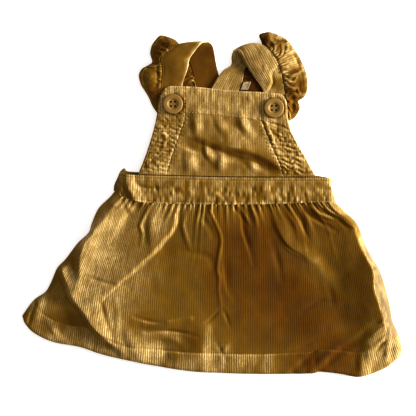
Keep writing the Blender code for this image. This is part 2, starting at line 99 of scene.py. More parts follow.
# Outlines seen from above: x, y.
WAIST_TOP = [(-90.5, 30.5), (-84, 29.5), (-72, 28.8), (-32, 27.8), (8, 26.8), (50, 26.4),
             (88, 26.3), (119, 26.2)]
WAIST_SEAM = [(-97, 12.5), (-90, 7.2), (-77, 3), (-62, 0.6), (-37, -0.3), (10, -0.7),
              (56, -0.3), (91, 0.7), (110, 1.4), (124, 0.4)]
WAIST_LEFT = [(-90.5, 30.5), (-93.5, 26), (-95.5, 19), (-97, 12.5)]
WAIST_RIGHT = [(119, 26.2), (119, 18), (121.5, 9), (124, 0.4)]
BACK_WAIST_TOP = [(-92.4, 32.2), (-87.5, 36.2), (-81, 32.2), (-32, 31.8), (50, 31.6),
                  (85, 30.4), (118.4, 25.2)]
BACK_WAIST_LEFT = [(-92.4, 32.2), (-95, 26), (-98, 19), (-98.6, 13.5)]
HEM = [(-190.1, -112.2), (-186, -121), (-177, -129.5), (-159, -137.9), (-132, -143),
       (-114, -149), (-97, -153.5), (-68, -159.5), (-28, -166.2), (8, -168.8), (55, -169.9),
       (98, -169.3), (108, -167.5), (128, -169.6), (147.4, -172.6), (167, -166.8),
       (179, -160), (188.9, -151.4)]
SKIRT_LEFT = [(-97, 12.9), (-102.7, 6.2), (-113.5, -4.6), (-120, -19), (-123.5, -29),
              (-134.6, -39.7), (-146.7, -55.6), (-155, -64.5), (-161.4, -79.2),
              (-167.2, -88.5), (-179, -97), (-190.1, -112.2)]
SKIRT_RIGHT = [(124, 0.8), (132.6, -8), (140.7, -14.8), (146.8, -23.2), (153, -40.8),
               (161, -55.5), (168, -67.5), (174, -85.8), (178, -103), (180.8, -118),
               (186.2, -130), (189.5, -143), (188.9, -151.4)]
# Depth of the skirt's turned-up hem at places across it: x, depth.
HEM_BAND = [(-190, 20), (-130, 21), (-102, 14.5), (-85, 13), (-60, 15.5), (-20, 18.3),
            (40, 19), (90, 20.5), (150, 24), (190, 25)]
BIB_TOP = [(-27, 117.5), (-12, 116.5), (10, 114), (28, 112.7), (49, 111.7)]
BIB_SEAM_LEFT = [(-27, 117.5), (-27, 99), (-27.4, 85), (-32.4, 71), (-37, 58),
                 (-40.7, 47), (-46, 28.6)]
BIB_SEAM_RIGHT = [(49, 111.7), (49.2, 98), (49.4, 84), (56, 66), (61, 53.5), (66.8, 41),
                  (71.5, 27)]
BIB_EDGE_LEFT = [(-48, 114), (-51.5, 107), (-53.5, 99), (-55, 88), (-59.5, 69), (-66, 49),
                 (-73.6, 29.4)]
BIB_EDGE_RIGHT = [(69, 109.5), (73, 105), (74.8, 98), (75.6, 86), (79, 72.5), (86.2, 58.5),
                  (93.4, 46), (99.8, 34), (103.6, 27.2)]
SIDE_TOP_LEFT = [(-48, 114), (-45.5, 116.6), (-41, 117.6), (-27, 117.5)]
SIDE_TOP_RIGHT = [(49, 111.7), (58, 110.6), (66, 110.2), (69, 109.5)]

# Gathers under the waistband, a row for each kind: how many, their least and greatest height,
# the least share of the skirt's length that they run down, how much longer some are, a seed.
Gather = namedtuple("Gather", "count low high near far seed")
GATHERS = [Gather(34, 0.3, 1.9, 0.035, 0.17, 3), Gather(61, 0.6, 1.8, 0.02, 0.03, 13),
           Gather(88, 0.2, 1.7, 0.012, 0.014, 23)]

# Straps, a row for each section from the button end over the shoulder to the back waist: x, y
# at the neck side, x, y at the ruffle side, height and how far it bows up the dress.
STRAP_LEFT = [
    (-27.0, 85.0, -52.5, 85.0, 2.8, 0.0), (-28.0, 100.0, -53.0, 100.0, 2.8, 0.0),
    (-30.0, 116.0, -51.2, 116.0, 2.9, 0.0), (-27.5, 127.0, -50.8, 126.0, 4.3, 0.0),
    (-24.4, 136.0, -50.2, 137.0, 6.5, 0.0), (-22.5, 145.0, -52.0, 144.5, 8.2, 0.0),
    (-17.0, 153.0, -44.0, 151.5, 8.9, 0.0), (-12.0, 159.0, -37.0, 156.5, 8.3, 0.6),
    (-7.5, 161.7, -32.5, 159.4, 5.8, 0.8), (-2.5, 161.2, -30.0, 157.5, 3.2, 0.6),
    (1.0, 157.0, -26.0, 152.0, 1.6, 0.0), (4.0, 141.0, -22.0, 140.0, 0.8, 0.0),
    (6.0, 132.0, -18.5, 128.0, 0.8, 0.0), (10.0, 117.0, -15.0, 114.0, 0.8, 0.0),
    (16.0, 92.0, -10.0, 89.0, 0.8, 0.0), (24.0, 64.0, -2.0, 61.0, 0.8, 0.0),
    (32.0, 32.6, 6.0, 32.4, 0.8, 0.0),
]
STRAP_RIGHT = [
    (50.5, 83.0, 74.0, 85.0, 2.8, 0.0), (50.8, 96.0, 73.5, 98.0, 2.8, 0.0),
    (51.5, 112.0, 72.2, 114.5, 3.1, 0.0), (46.0, 122.5, 70.0, 126.6, 4.8, 0.0),
    (38.6, 132.3, 67.3, 135.5, 7.2, 0.0), (32.5, 141.5, 64.0, 143.0, 8.8, 0.0),
    (29.0, 148.5, 59.0, 151.0, 9.2, 1.5), (25.5, 152.5, 54.8, 155.8, 8.4, 3.0),
    (21.2, 152.2, 50.6, 158.4, 5.8, 4.0), (19.6, 147.0, 47.0, 155.2, 3.2, 2.5),
    (19.0, 139.2, 42.0, 147.0, 2.7, 1.0), (10.5, 133.0, 33.5, 136.0, 2.7, 0.0),
    (1.5, 120.0, 29.5, 120.0, 2.7, 0.0), (-9.0, 100.0, 19.0, 98.0, 2.7, 0.0),
    (-21.0, 72.0, 5.0, 69.0, 2.7, 0.0), (-28.0, 46.0, -2.5, 44.0, 2.7, 0.0),
    (-31.0, 32.6, -5.5, 32.4, 0.8, 0.0),
]

# The section at which a strap folds over.
SHOULDER = 8.2

# Ruffles, a row for each gather: the strap section that it is sewn to, how far out from the
# strap its seam line lies, x, y and height of its outer edge and the height of its wave.
RUFFLE_LEFT = [
    (0.55, 0.45, -54.4, 90.5, 2.6, 0.2), (1.00, 0.45, -59.4, 98.0, 2.4, 0.5),
    (1.50, 0.45, -63.4, 107.0, 2.0, 0.8), (2.00, 0.45, -67.6, 114.0, 1.8, 1.0),
    (2.50, 0.45, -71.4, 120.5, 2.2, 1.2), (3.00, 0.45, -73.1, 129.0, 2.6, 1.2),
    (3.50, 0.45, -70.0, 135.0, 3.4, 1.2), (4.20, 0.45, -63.5, 138.8, 3.2, 1.0),
    (4.80, 0.45, -59.6, 142.7, 2.4, 0.8), (5.30, 0.45, -61.6, 151.0, 3.2, 1.0),
    (5.70, 0.45, -59.4, 159.5, 4.4, 1.2), (6.20, 0.45, -52.5, 167.8, 5.2, 1.2),
    (6.80, 0.45, -45.5, 167.2, 5.6, 1.0), (7.50, 0.80, -38.0, 164.2, 5.4, 0.4),
    (8.30, 1.40, -35.5, 161.5, 4.2, 0.0), (9.00, 0.90, -37.0, 155.5, 2.4, 0.0),
    (9.80, 0.45, -38.0, 144.0, 1.5, 0.3), (10.60, 0.45, -37.5, 133.0, 1.3, 0.3),
    (11.50, 0.45, -34.0, 123.0, 1.3, 0.5), (12.30, 0.45, -28.0, 114.5, 1.3, 0.5),
    (13.00, 0.45, -22.0, 107.0, 1.1, 0.2),
]
RUFFLE_RIGHT = [
    (0.00, 0.45, 76.8, 83.0, 2.4, 0.2), (0.50, 0.45, 83.5, 87.5, 2.4, 0.6),
    (1.00, 0.45, 88.0, 96.5, 2.6, 0.9), (1.40, 0.45, 86.6, 103.0, 2.0, 1.0),
    (1.80, 0.45, 93.0, 108.0, 2.6, 1.2), (2.20, 0.45, 95.7, 117.0, 2.4, 1.4),
    (2.80, 0.45, 95.3, 127.0, 2.6, 1.5), (3.60, 0.45, 92.0, 137.5, 3.0, 1.5),
    (4.40, 0.45, 87.8, 146.5, 3.6, 1.6), (5.20, 0.45, 82.5, 154.5, 4.2, 1.6),
    (6.00, 0.45, 75.5, 163.5, 4.6, 1.5), (6.60, 0.60, 67.0, 168.5, 5.2, 1.3),
    (7.20, 1.20, 57.5, 171.6, 5.6, 1.0), (7.80, 1.60, 48.0, 169.6, 5.6, 0.3),
    (8.30, 2.00, 49.0, 165.0, 4.2, 0.0), (9.00, 1.00, 57.0, 157.0, 2.2, 0.0),
    (9.60, 0.45, 57.5, 147.0, 1.5, 0.3), (10.30, 0.45, 57.0, 137.0, 1.4, 0.3),
    (11.00, 0.45, 54.5, 128.0, 1.3, 0.4), (11.60, 0.45, 52.5, 117.5, 1.2, 0.4),
    (12.20, 0.45, 48.5, 108.5, 1.1, 0.3), (12.80, 0.45, 36.0, 104.0, 1.1, 0.2),
]

# Folds, a row for each: height where it starts, half way and where it ends, reach to the
# west and east of its line, the line, how pinched its crest is and how far it leans west.
# West and east are those of a line that runs down the dress, and they turn with the line.
Fold = namedtuple("Fold", "start middle end west east line pinch lean", defaults=(0.0, 0.0))
# Crest of the long roll along the skirt's right side, and the same line from waist to hem.
SIDE_CREST = [(143, -23), (147, -37), (152, -51), (157, -61), (159.5, -69), (160, -84),
              (163.5, -95), (168, -108), (171, -121)]
ROLL_CREST_X, ROLL_CREST_Y = zip((121, -10), (129, -14.5), (137, -20), *SIDE_CREST, (174, -135),
                                 (177, -150), (179, -170))
SKIRT_FOLDS = [
    # the left flap: its swell, its main ridge and the hollow beside it
    Fold(2, 4, 2, 40, 75, [(-108, -28), (-116, -70), (-100, -118)]),
    Fold(3, 6.0, 3, 11, 14, [(-97, -2), (-108, -18), (-117, -27), (-122, -33), (-127, -43),
         (-130, -56), (-131, -73), (-135, -84), (-138, -93)], 0.7, 1.5),
    Fold(-1.2, -2.0, -0.6, 7, 13, [(-76, -3), (-83, -12), (-89, -22), (-98, -36)]),
    Fold(-0.6, -1.0, -0.6, 4, 4, [(-126, -72), (-112, -77), (-99, -80)], 0.3),
    # long gathers of the flap's upper right
    Fold(0.7, 1.3, 0.4, 4, 2.4, [(-63, -2), (-65, -8), (-69, -17), (-71, -22), (-69, -30),
         (-71, -40)], 0.5, 0.5),
    Fold(1.0, 1.8, 0.6, 7, 12, [(-57, -2), (-59.5, -12), (-61, -26), (-60, -44)], 0.3, 0.5),
    Fold(0.4, 1.0, 0.3, 4, 5, [(-86, 4), (-84, -3), (-79, -10)], 0.4),
    # the step that runs down across the skirt, and the dark slope under it
    Fold(1.0, 2.6, 1.4, 24, 4, [(-35, 0), (-38, -9), (-38, -18), (-42, -26), (-50, -35), (-60, -47),
         (-70, -56), (-80, -66), (-90, -74), (-100, -84), (-110, -93)], 0.2, -0.5),
    Fold(-0.8, -1.4, -0.4, 4, 26, [(-31, -4), (-33, -18), (-38, -30), (-47, -41), (-58, -53),
         (-70, -64), (-84, -77)]),
    # the lower lobe: its ridge, narrow above and broad below, and its bright streaks
    Fold(3, 5, 1, 7, 10, [(-152, -56), (-149, -66), (-144, -78), (-140, -90)], 0.7, 1.0),
    Fold(4, 7.5, 3, 6, 26, [(-141, -88), (-134, -99), (-127, -108), (-120, -119), (-112, -128),
         (-102, -137), (-91, -146)], 0.7, 1.5),
    Fold(0.8, 1.8, 0.8, 7, 6, [(-169, -90), (-173, -101), (-176, -113)], 0.2),
    Fold(-0.6, -1.0, -0.8, 2.5, 3, [(-177, -101), (-181, -111), (-184, -121)]),
    Fold(0.4, 0.9, 0.4, 4, 5, [(-163, -120), (-158, -128), (-151, -136)]),
    Fold(-0.6, -1.2, -0.5, 5, 4, [(-113, -94), (-109, -105), (-106, -115), (-100, -130)]),
    Fold(0.4, 0.9, 0.4, 3.5, 5, [(-96, -96), (-95, -112), (-94, -136)], 0.3),
    Fold(-0.4, -0.7, -0.3, 3, 3, [(-120, -120), (-113, -117), (-107, -111)]),
    # lens-shaped folds above the hem and the swells of the hem below them
    Fold(-0.4, -1.0, -0.4, 3.5, 3.5, [(-77, -113), (-68, -116), (-58, -118), (-48, -119)], 0.2),
    Fold(0.8, 2.0, 0.8, 5, 5, [(-68, -121), (-57, -121.5), (-42, -119), (-30, -116),
         (-22, -115)], 0.3),
    Fold(-0.5, -1.3, -0.4, 3, 3.5, [(-66, -128), (-50, -127), (-38, -127.5), (-26, -129.5),
         (-14, -133)], 0.3),
    Fold(0.5, 1.4, 0.5, 6, 7, [(-76, -138), (-62, -134), (-48, -133), (-36, -135.5),
         (-28, -143)], 0.2),
    Fold(0.3, 0.8, 0.3, 3, 4, [(16, -139), (13, -144), (9, -149)], 0.2),
    Fold(1.5, 2.6, 2, 9, 24, [(-84, -130), (-77, -144), (-70, -158)], 0.2),
    Fold(-0.2, -0.5, -0.3, 5, 5, [(-50, -138), (-47, -148), (-50, -160)]),
    Fold(1, 2.0, 1.6, 34, 10, [(-8, -128), (-10, -148), (-8, -166)]),
    Fold(-0.3, -0.6, -0.4, 3, 3, [(5, -139), (9, -147), (13, -157)]),
    # centre ridge with its hook and fork, and the folds on its left
    Fold(0.7, 0.95, 0.5, 2.8, 2.4, [(4, -1), (-1.5, -5), (0, -11), (4, -20), (8, -30), (9, -39),
         (7, -51), (5.5, -65), (7, -74), (6.5, -86), (8, -96), (9, -104)], 0.4),
    Fold(-0.4, -0.7, -0.3, 4, 8, [(12, -46), (13, -66), (16, -84), (22, -96)]),
    Fold(-0.3, -0.8, -0.2, 2.5, 2.5, [(8, -105), (2, -112), (-6, -119)], 0.2),
    Fold(-0.3, -0.8, -0.2, 2.5, 2.5, [(10, -104), (14, -112), (18, -124)], 0.2),
    Fold(0.5, 1.1, 0.4, 4, 4, [(-22, -2), (-26, -9), (-29, -20), (-27, -31), (-22, -45)], 0.4),
    Fold(-0.4, -0.8, -0.3, 6, 6, [(-30, -48), (-12, -50), (-2, -54), (1, -62)]),
    Fold(-0.4, -0.8, -0.3, 5, 5, [(-10, -5), (-8, -15), (-3, -23), (1, -32)]),
    # gathers that run on to the right of the centre
    Fold(-0.5, -0.9, -0.3, 3, 6, [(23, -5), (30, -14), (31, -25), (34, -36), (38, -48),
         (41, -60)], 0.3),
    Fold(0.4, 0.8, 0.3, 2.6, 3, [(28, -4), (33, -12), (38, -21)], 0.4),
    Fold(0.4, 0.8, 0.3, 2.6, 3, [(39, -3), (43, -12), (45, -22)], 0.4),
    Fold(0.8, 1.6, 0.6, 6, 13, [(61, -4), (64, -18), (70, -31), (77, -42), (84, -47), (92, -51),
         (100, -57)], 0.5, 0.5),
    Fold(0.5, 1.1, 0.3, 13, 12, [(94, -52), (101, -58), (108, -66), (115, -76), (121, -88),
         (126, -100)], 0.2),
    Fold(-0.3, -0.9, -0.3, 2, 2, [(66, -30), (72, -39), (80, -46), (89, -51)], 0.3),
    Fold(-0.3, -0.7, -0.3, 6, 5, [(60, -36), (64, -50), (67, -62), (70, -76)]),
    Fold(0.5, 1.0, 0.4, 4, 4.5, [(74, -3), (78, -12), (84, -22), (87, -34)], 0.3),
    Fold(-0.4, -0.9, -0.3, 4, 3, [(84, -6), (90, -16), (93, -26), (98, -36)], 0.2),
    Fold(0.5, 0.9, 0.3, 3, 4, [(87, -2), (93, -11), (97, -20), (101, -30)], 0.4),
    # right hip, where the gathers fan out
    Fold(-0.5, -1.1, -0.4, 4, 4, [(91, -6), (102, -14), (112, -20), (124, -27)]),
    Fold(0.8, 1.5, 0.6, 3, 3, [(97, -2), (104, -8), (113, -13), (124, -15.5)], 0.4),
    Fold(0.8, 1.5, 0.8, 2.6, 3, [(106, 0), (113, -5), (121, -9.5), (130, -15), (136, -20),
         (143, -24)], 0.5),
    Fold(-0.3, -0.7, -0.3, 3, 3, [(110, -6), (119, -12), (128, -18), (136, -25)]),
    Fold(0.8, 1.5, 0.8, 2.6, 3, [(115, -1), (124, -8), (134, -15), (144, -22)], 0.4),
    # the broad slope up to the right side, and the long roll along it
    Fold(2, 3, 2, 120, 20, [(146, -24), (160, -64), (174, -120)]),
    Fold(4, 10, 7, 44, 12, SIDE_CREST, 0.6),
    Fold(0.4, 1.2, 0.4, 3, 3, [(154, -52), (159, -58), (162.5, -64), (163, -76)], 0.4),
    Fold(-0.4, -1.1, -0.4, 2.5, 2.5, [(158, -60), (160.5, -66), (162, -76)]),
    Fold(-0.2, -0.5, -0.2, 5, 5, [(116, -80), (119, -90), (121, -100)]),
    Fold(-0.2, -0.6, -0.2, 4, 4, [(119, -98), (109, -97), (101, -100), (90, -107)]),
    # slanting dips and rises of the lower right, and the corner's crossing folds
    Fold(-0.3, -0.7, -0.3, 3, 4, [(103, -136), (92, -141), (79, -144)]),
    Fold(-0.5, -1.0, -0.7, 5, 7, [(102, -148), (95, -155), (88, -161), (80, -168)]),
    Fold(-0.8, -1.3, -0.8, 6, 7, [(163, -118), (154, -127), (145, -136), (131, -145), (121, -153),
         (106, -167)]),
    Fold(0.5, 1.0, 0.6, 7, 7, [(124, -146), (112, -155), (100, -167)]),
    Fold(1.0, 1.8, 2.0, 12, 12, [(163, -128), (157, -143), (153, -157), (148, -172)], 0.3, 0.3),
    Fold(0.4, 0.9, 0.4, 2, 2, [(186, -138), (178, -139), (170, -143), (164, -149)], 0.4),
    Fold(-0.4, -0.8, -0.4, 2, 2, [(180, -146), (172, -149), (166, -154)]),
    Fold(0.3, 0.8, 0.3, 2, 2, [(176, -118), (168, -122), (160, -130)], 0.4),
    Fold(0.3, 0.7, 0.3, 2, 2, [(178, -110), (172, -113), (165, -121)], 0.4),
    Fold(0.8, 1.6, 0.8, 3, 4, [(183, -128), (173, -131), (166, -138), (159, -142)], 0.4),
    Fold(-0.6, -1.2, -0.5, 4, 3, [(173, -134), (168, -140), (164, -147)]),
    Fold(0.6, 1.3, 0.6, 4, 4, [(176, -134), (175, -147), (172, -160)], 0.2),
]
WAIST_FOLDS = [
    Fold(2.0, 3.2, 2.5, 6, 12, [(-85, 31), (-84, 18), (-80, 9), (-75, 0)], 0.3),
    Fold(-0.6, -1.2, -0.5, 4, 4, [(-77, 27), (-75, 19), (-66, 16), (-46, 15.5)], 0.3),
    Fold(-0.4, -1.0, -1.1, 5, 5, [(91, 13), (105, 14.5), (121, 16.8)], 0.2),
    Fold(0.3, 0.8, 0.4, 8, 9, [(48, 24), (52, 16), (57, 8)]),
    Fold(0.2, 0.6, 0.3, 5, 7, [(-24, 24), (-22, 14), (-23, 4)]),
    Fold(0.2, 0.5, 0.3, 4, 4, [(-9, 22), (-8, 12), (-7, 3)]),
]
BIB_FOLDS = [
    Fold(1.0, 3.0, 2.0, 6.5, 26, [(-20, 68), (-8, 65), (2, 61), (12, 58), (25, 56), (40, 52),
         (54, 46), (66, 38), (76, 29)], 0.2),
    Fold(-0.5, -1.2, -0.8, 9, 4, [(-8, 58), (8, 52), (22, 47), (38, 43), (52, 37), (62, 29)]),
    Fold(0.8, 1.9, 0.8, 8, 9, [(-17, 90), (-16, 78), (-13, 68)], 0.2),
    Fold(0.8, 2.0, 0.8, 7, 8, [(27, 89), (31, 79), (38, 69)], 0.3),
    Fold(0.4, 1.0, 0.4, 6, 8, [(4, 88), (8, 78), (14, 68)]),
    Fold(0.8, 1.8, 0.6, 5, 8, [(-7, 61), (-5, 50), (2, 42)], 0.3),
    Fold(0.6, 1.8, 1.0, 6, 9, [(4, 56), (9, 47), (8, 38), (10, 28)], 0.3),
    Fold(0.8, 1.9, 1.2, 8, 12, [(-24, 50), (-23, 40), (-24, 29)], 0.2),
    Fold(0.6, 1.5, 1.0, 6, 8, [(33, 46), (40, 38), (46, 28)], 0.2),
    Fold(-0.4, -1.0, -0.4, 5, 6, [(-30, 60), (-20, 55), (-10, 53)]),
    Fold(0.5, 1.2, 0.4, 4, 4, [(-64, 37), (-54, 44), (-42, 49)], 0.3),
    Fold(0.4, 1.1, 0.4, 4, 4, [(-70, 33), (-60, 38), (-48, 41)], 0.3),
    Fold(0.4, 1.0, 0.4, 4, 4, [(-52, 76), (-47, 66), (-49, 56)], 0.3),
    Fold(-0.5, -1.0, -0.5, 4, 4, [(-57, 84), (-48, 82), (-34, 83)]),
    Fold(-0.3, -0.8, -0.3, 3, 3, [(56, 82), (66, 79), (74, 80)]),
    Fold(0.4, 0.9, 0.5, 4, 4, [(68, 38), (80, 36), (96, 34)], 0.2),
    Fold(0.4, 0.9, 0.4, 3, 3, [(52, 86), (56, 74), (61, 62), (66, 50)], 0.3),
]
# Dents of the right strap and faint swells of both.
STRAP_FOLDS = [
    Fold(0.8, 1.7, 0.6, 16, 1.6, [(65, 139), (57.5, 131), (57.5, 127), (58.5, 122),
         (53, 112)], 0.3),
    Fold(-0.5, -1.0, -0.4, 1.2, 3.5, [(60, 131), (60, 126), (60.5, 121), (56, 112)], 0.3),
    Fold(0.3, 0.7, 0.3, 3, 4, [(51, 141), (52.5, 135), (51, 130)], 0.2),
    Fold(0.2, 0.5, 0.2, 7, 8, [(36, 152), (42, 140), (50, 126)]),
    Fold(0.2, 0.5, 0.3, 9, 7, [(-38, 150), (-36, 136), (-38, 122)]),
]
# The hook of the left ruffle's inner end, beside the back half of its strap.
RUFFLE_BACK_FOLDS = [
    Fold(0.6, 1.2, 0.8, 2.0, 2.0, [(-29, 124), (-23, 127.5), (-18, 125.5), (-14, 119)], 0.3),
    Fold(0.5, 1.2, 0.8, 1.5, 1.5, [(-25, 121.5), (-20.5, 124), (-17, 121), (-16, 116)], 0.3),
]
RUFFLE_FOLDS = [
    # swirling ridges of the right ruffle, from its top down
    Fold(1.0, 1.8, 0.8, 2.2, 2.2, [(57, 162), (61, 160), (62.5, 156), (60.5, 151)], 0.3),
    Fold(0.8, 1.7, 1.0, 2.3, 2.3, [(69, 159), (70, 153), (68.5, 148), (65.5, 146.5),
         (62, 150)], 0.3),
    Fold(0.7, 1.5, 0.8, 2.4, 2.4, [(74, 161), (75.5, 156), (73, 151)], 0.3),
    Fold(0.8, 1.7, 1.0, 2.4, 2.4, [(65, 141), (70, 146), (75, 150), (79, 152)], 0.4),
    Fold(0.6, 1.2, 0.6, 2.0, 2.0, [(65, 137), (70, 139), (75, 142)], 0.3),
    Fold(0.6, 1.2, 0.6, 2.0, 2.0, [(66, 133), (71, 136), (75, 136.5)], 0.3),
    Fold(0.8, 1.3, 0.6, 1.8, 1.8, [(68, 130), (71.5, 132), (75, 132)], 0.3),
    Fold(0.8, 1.7, 1.0, 2.3, 2.3, [(71, 131), (77, 128), (84, 130), (90, 134)], 0.3),
    Fold(0.8, 1.7, 0.9, 2.2, 2.2, [(72, 127), (76, 123), (81, 122), (84, 126)], 0.3),
    Fold(0.8, 1.6, 1.0, 2.2, 2.2, [(73, 122), (76, 117.5), (81, 115.5), (85, 116), (87, 111)], 0.3),
    Fold(-1.2, -2.0, -1.2, 3, 3, [(58, 164), (66, 162), (73, 162)]),
    Fold(-0.5, -0.9, -0.5, 3, 4, [(81, 150), (85, 143), (86, 136)]),
    Fold(-0.6, -1.1, -0.6, 6, 5, [(88, 127), (87, 118), (86, 112)]),
    Fold(0.8, 1.4, 0.6, 1.8, 1.8, [(73, 108), (76, 104), (79, 102)], 0.3),
    Fold(0.8, 1.4, 0.6, 1.8, 1.8, [(74, 100), (77, 97), (79, 93)], 0.3),
    Fold(0.8, 1.4, 0.6, 1.8, 1.8, [(75, 94), (77, 91), (78, 86)], 0.3),
    Fold(-0.8, -1.5, -0.8, 4, 4, [(80, 108), (81, 100), (80, 92)]),
    # soft folds of the left ruffle's two lobes, and the crinkles beside its strap
    Fold(0.5, 1.1, 0.4, 1.3, 1.3, [(-53, 151), (-48, 151.5), (-43, 154.5), (-37, 157.5)], 0.3),
    Fold(-0.4, -1.1, -0.4, 1.2, 1.2, [(-52, 153.5), (-47, 154), (-42, 157), (-36, 159)], 0.2),
    Fold(0.4, 0.9, 0.4, 1.2, 1.2, [(-47, 159), (-42, 160.5), (-37, 162.5)], 0.3),
    Fold(0.4, 0.9, 0.4, 1.5, 1.5, [(-66, 138), (-60, 137), (-54, 138.5)], 0.2),
    Fold(-0.4, -0.9, -0.4, 1.4, 1.4, [(-62, 141), (-57, 139.5), (-53, 141)], 0.2),
    Fold(0.6, 1.3, 0.5, 1.8, 2.6, [(-48, 154), (-42, 155), (-38, 158), (-33, 160)], 0.3),
    Fold(-0.6, -1.4, -0.6, 2.2, 2.2, [(-50, 160), (-45, 161.5), (-40, 160.5)]),
    Fold(-0.6, -1.3, -0.6, 2, 2, [(-50, 155.5), (-44, 157.2), (-37, 160)]),
    Fold(0.8, 1.8, 0.8, 9, 9, [(-68, 132), (-62, 127), (-58, 118)]),
    Fold(-0.5, -1.1, -0.5, 3, 3, [(-55, 140), (-54, 128), (-56, 118)]),
    Fold(0.4, 1.0, 0.4, 3, 4, [(-53, 136), (-52, 131), (-53, 126)], 0.2),
]

# Soft round patches of painted light, paler (more than 0), or of painted shade, darker (less
# than 0): x, y, width, length and amount of each.
SKIRT_PAINTED_LIGHT = [
    # the left flap
    (-98, -45, 30, 50, 0.85), (-126, -50, 6, 26, 0.7), (-142, -72, 5, 8, 0.8),
    (-168, -97, 4, 8, 0.6), (-116, -48, 9, 34, 0.5), (-83, -38, 13, 18, -0.4),
    (-95, -70, 16, 12, -0.15),
    # the lower lobe and the hem under it
    (-101, -113, 18, 26, 0.5), (-132, -84, 11, 13, 1.5), (-124, -101, 11, 15, 0.6),
    (-113, -90, 8, 10, 0.5), (-108, -106, 3, 12, -0.7), (-90, -142, 9, 9, 0.75),
    (-172, -104, 8, 12, 0.4), (-156, -98, 16, 22, 0.15), (-184, -114, 9, 14, -0.5),
    (-158, -134, 22, 4, 0.3), (-145, -118, 22, 8, -0.5), (-112, -147, 14, 4, 0.3),
    # the lens-shaped folds and the hem below them
    (-72, -144, 16, 12, 0.5), (-72, -118, 12, 8, -0.5), (-45, -137, 3, 5, -0.3),
    (-52, -143, 9, 7, 0.6), (-35, -136, 5, 5, 0.5), (-18, -138, 8, 11, -0.8),
    (-3, -136, 7, 20, 0.4), (10, -150, 30, 16, 0.3), (-32, -161, 10, 6, 0.5),
    (-75, -157, 8, 6, 0.4), (15, -145, 5, 5, 0.5), (-38, -155, 10, 10, -0.3),
    # under the waistband
    (-53, -19, 9, 16, 0.8), (-24, -12, 9, 12, 0.25), (-32, -2, 22, 4, 0.5), (92, -8, 18, 12, -0.55),
    (118, -26, 32, 16, -0.4),
    # the middle and the slope beside the long roll, in painted shade with a few painted highlights
    # on crests
    (50, -80, 45, 70, -1.0), (31, -32, 30, 22, -0.8), (4, -72, 16, 26, -0.65),
    (78, -82, 22, 26, -0.4), (-45, -44, 9, 10, -0.5), (108, -118, 34, 32, -0.95),
    (150, -75, 12, 46, -0.25), (128, -141, 14, 9, -0.75), (118, -158, 30, 14, -0.9),
    (76, -36, 4, 8, 0.4), (88, -46, 8, 4, 0.5), (101, -57, 7, 6, 0.5), (109, -70, 6, 9, 0.4),
    # the long roll and the lower right corner
    (168, -72, 6, 18, 0.4), (164, -140, 15, 20, 0.85), (184, -147, 8, 12, 0.6),
    (168, -142, 5, 7, -0.5),
]
BIB_PATCHES = [
    # painted shade under the slanting fold
    (-13, 63, 10, 3.5, -0.6), (5, 58, 10, 3.5, -0.8), (22, 51, 11, 4, -0.8), (40, 45, 11, 5, -0.75),
    (56, 39, 10, 6, -0.75), (66, 33, 8, 5, -0.5),
    # painted shade in the end of the left buttonhole
    (-38.6, 89.7, 1.7, 1.0, -3.0),
    # painted highlights on the crests of the other folds, and a little painted shade
    (34, 79, 6, 10, 0.35), (-12, 80, 5, 9, 0.35), (-17, 40, 6, 7, 0.5), (-1, 53, 5, 7, 0.3),
    (11, 40, 5, 9, 0.4), (42, 35, 5, 5, 0.4), (8, 76, 9, 12, -0.15), (-48, 36, 9, 8, 0.4),
    (-60, 36, 7, 7, 0.3),
]
# Painted shade on the right strap's lower layer and on the left strap, and a painted highlight
# where the left strap turns over.
STRAP_PATCHES = [(66, 119, 6, 9, -0.8), (-44, 150, 8, 8, -0.2), (-6, 160.5, 6, 2.5, 1.0)]
# Painted shade in the ruffles' hollows and where they run under the straps and bib, with a few
# painted highlights.
RUFFLE_PATCHES = [
    (53, 163, 5, 7, -1.4), (66, 160, 7, 4, -1.2), (86, 142, 3, 8, -0.3), (88, 118, 6, 9, -1.4),
    (84, 134, 5, 4, -1.0), (81, 98, 7, 8, -1.5), (79, 107, 6, 4, -1.3), (77, 141, 5, 8, 0.3),
    (72, 113, 13, 1.6, -1.8), (-44, 159, 7, 2.6, -1.4), (-56, 110, 6, 9, -0.6),
    (-55, 165, 7, 3.5, 0.45), (-55, 152, 5, 5, -0.4), (-64, 127, 7, 9, 0.6), (-58, 160, 4, 6, 0.3),
]
# Painted highlights on the hook of the left ruffle's inner end.
RUFFLE_BACK_PATCHES = [(-20, 123.5, 3.5, 1.6, 1.6), (-16, 119, 1.4, 4, 1.6)]

# Painted light and shade on a strap's front half and its back half, and the painted highlight of
# its neck edge; and on a ruffle's front half and its back half, with the paler nap of its rim.
STRAP_PAINTED_LIGHT = {"strap_left": (-0.25, -0.9, 1.3), "strap_right": (0.65, 0.6, 0.5)}
RUFFLE_PAINTED_LIGHT = {"ruffle_left": (-0.5, -1.0, 0.2), "ruffle_right": (0.25, -1.7, 0.3)}
# The palest that nap is before it is rubbed, and its value along a rubbed edge.
PALEST_NAP = 1.08
RUBBED_NAP = 1.7
# Where the painted light comes from, seen from above: slopes facing this way are painted paler.
PAINTED_LIGHT_AXIS = np.array([math.cos(math.radians(25)), math.sin(math.radians(25)), 0.0])

# How deep the wales of a piece lie, where they are flatter than on the skirt.
WALE_DEPTHS = {"strap_left": 0.35, "strap_right": 0.75, "ruffle_left": 0.6, "ruffle_right": 0.4,
               "waistband_front": 0.75, "bib": 0.58}
# Columns and rows of each cloth's grid.
GRIDS = {"skirt_back": (110, 80), "waistband_front": (240, 30), "waistband_back": (120, 16),
         "bib_centre": (110, 120), "bib_side_left": (44, 120), "bib_side_right": (44, 120),
         "strap": (30, 224), "ruffle": (30, 440), "label": (14, 16)}

# The middles of the buttons, and the height of their undersides.
BUTTON_CENTRES = {"button_left": (-39.0, 99.7), "button_right": (61.8, 95.8)}
BUTTON_SEAT = 6.3
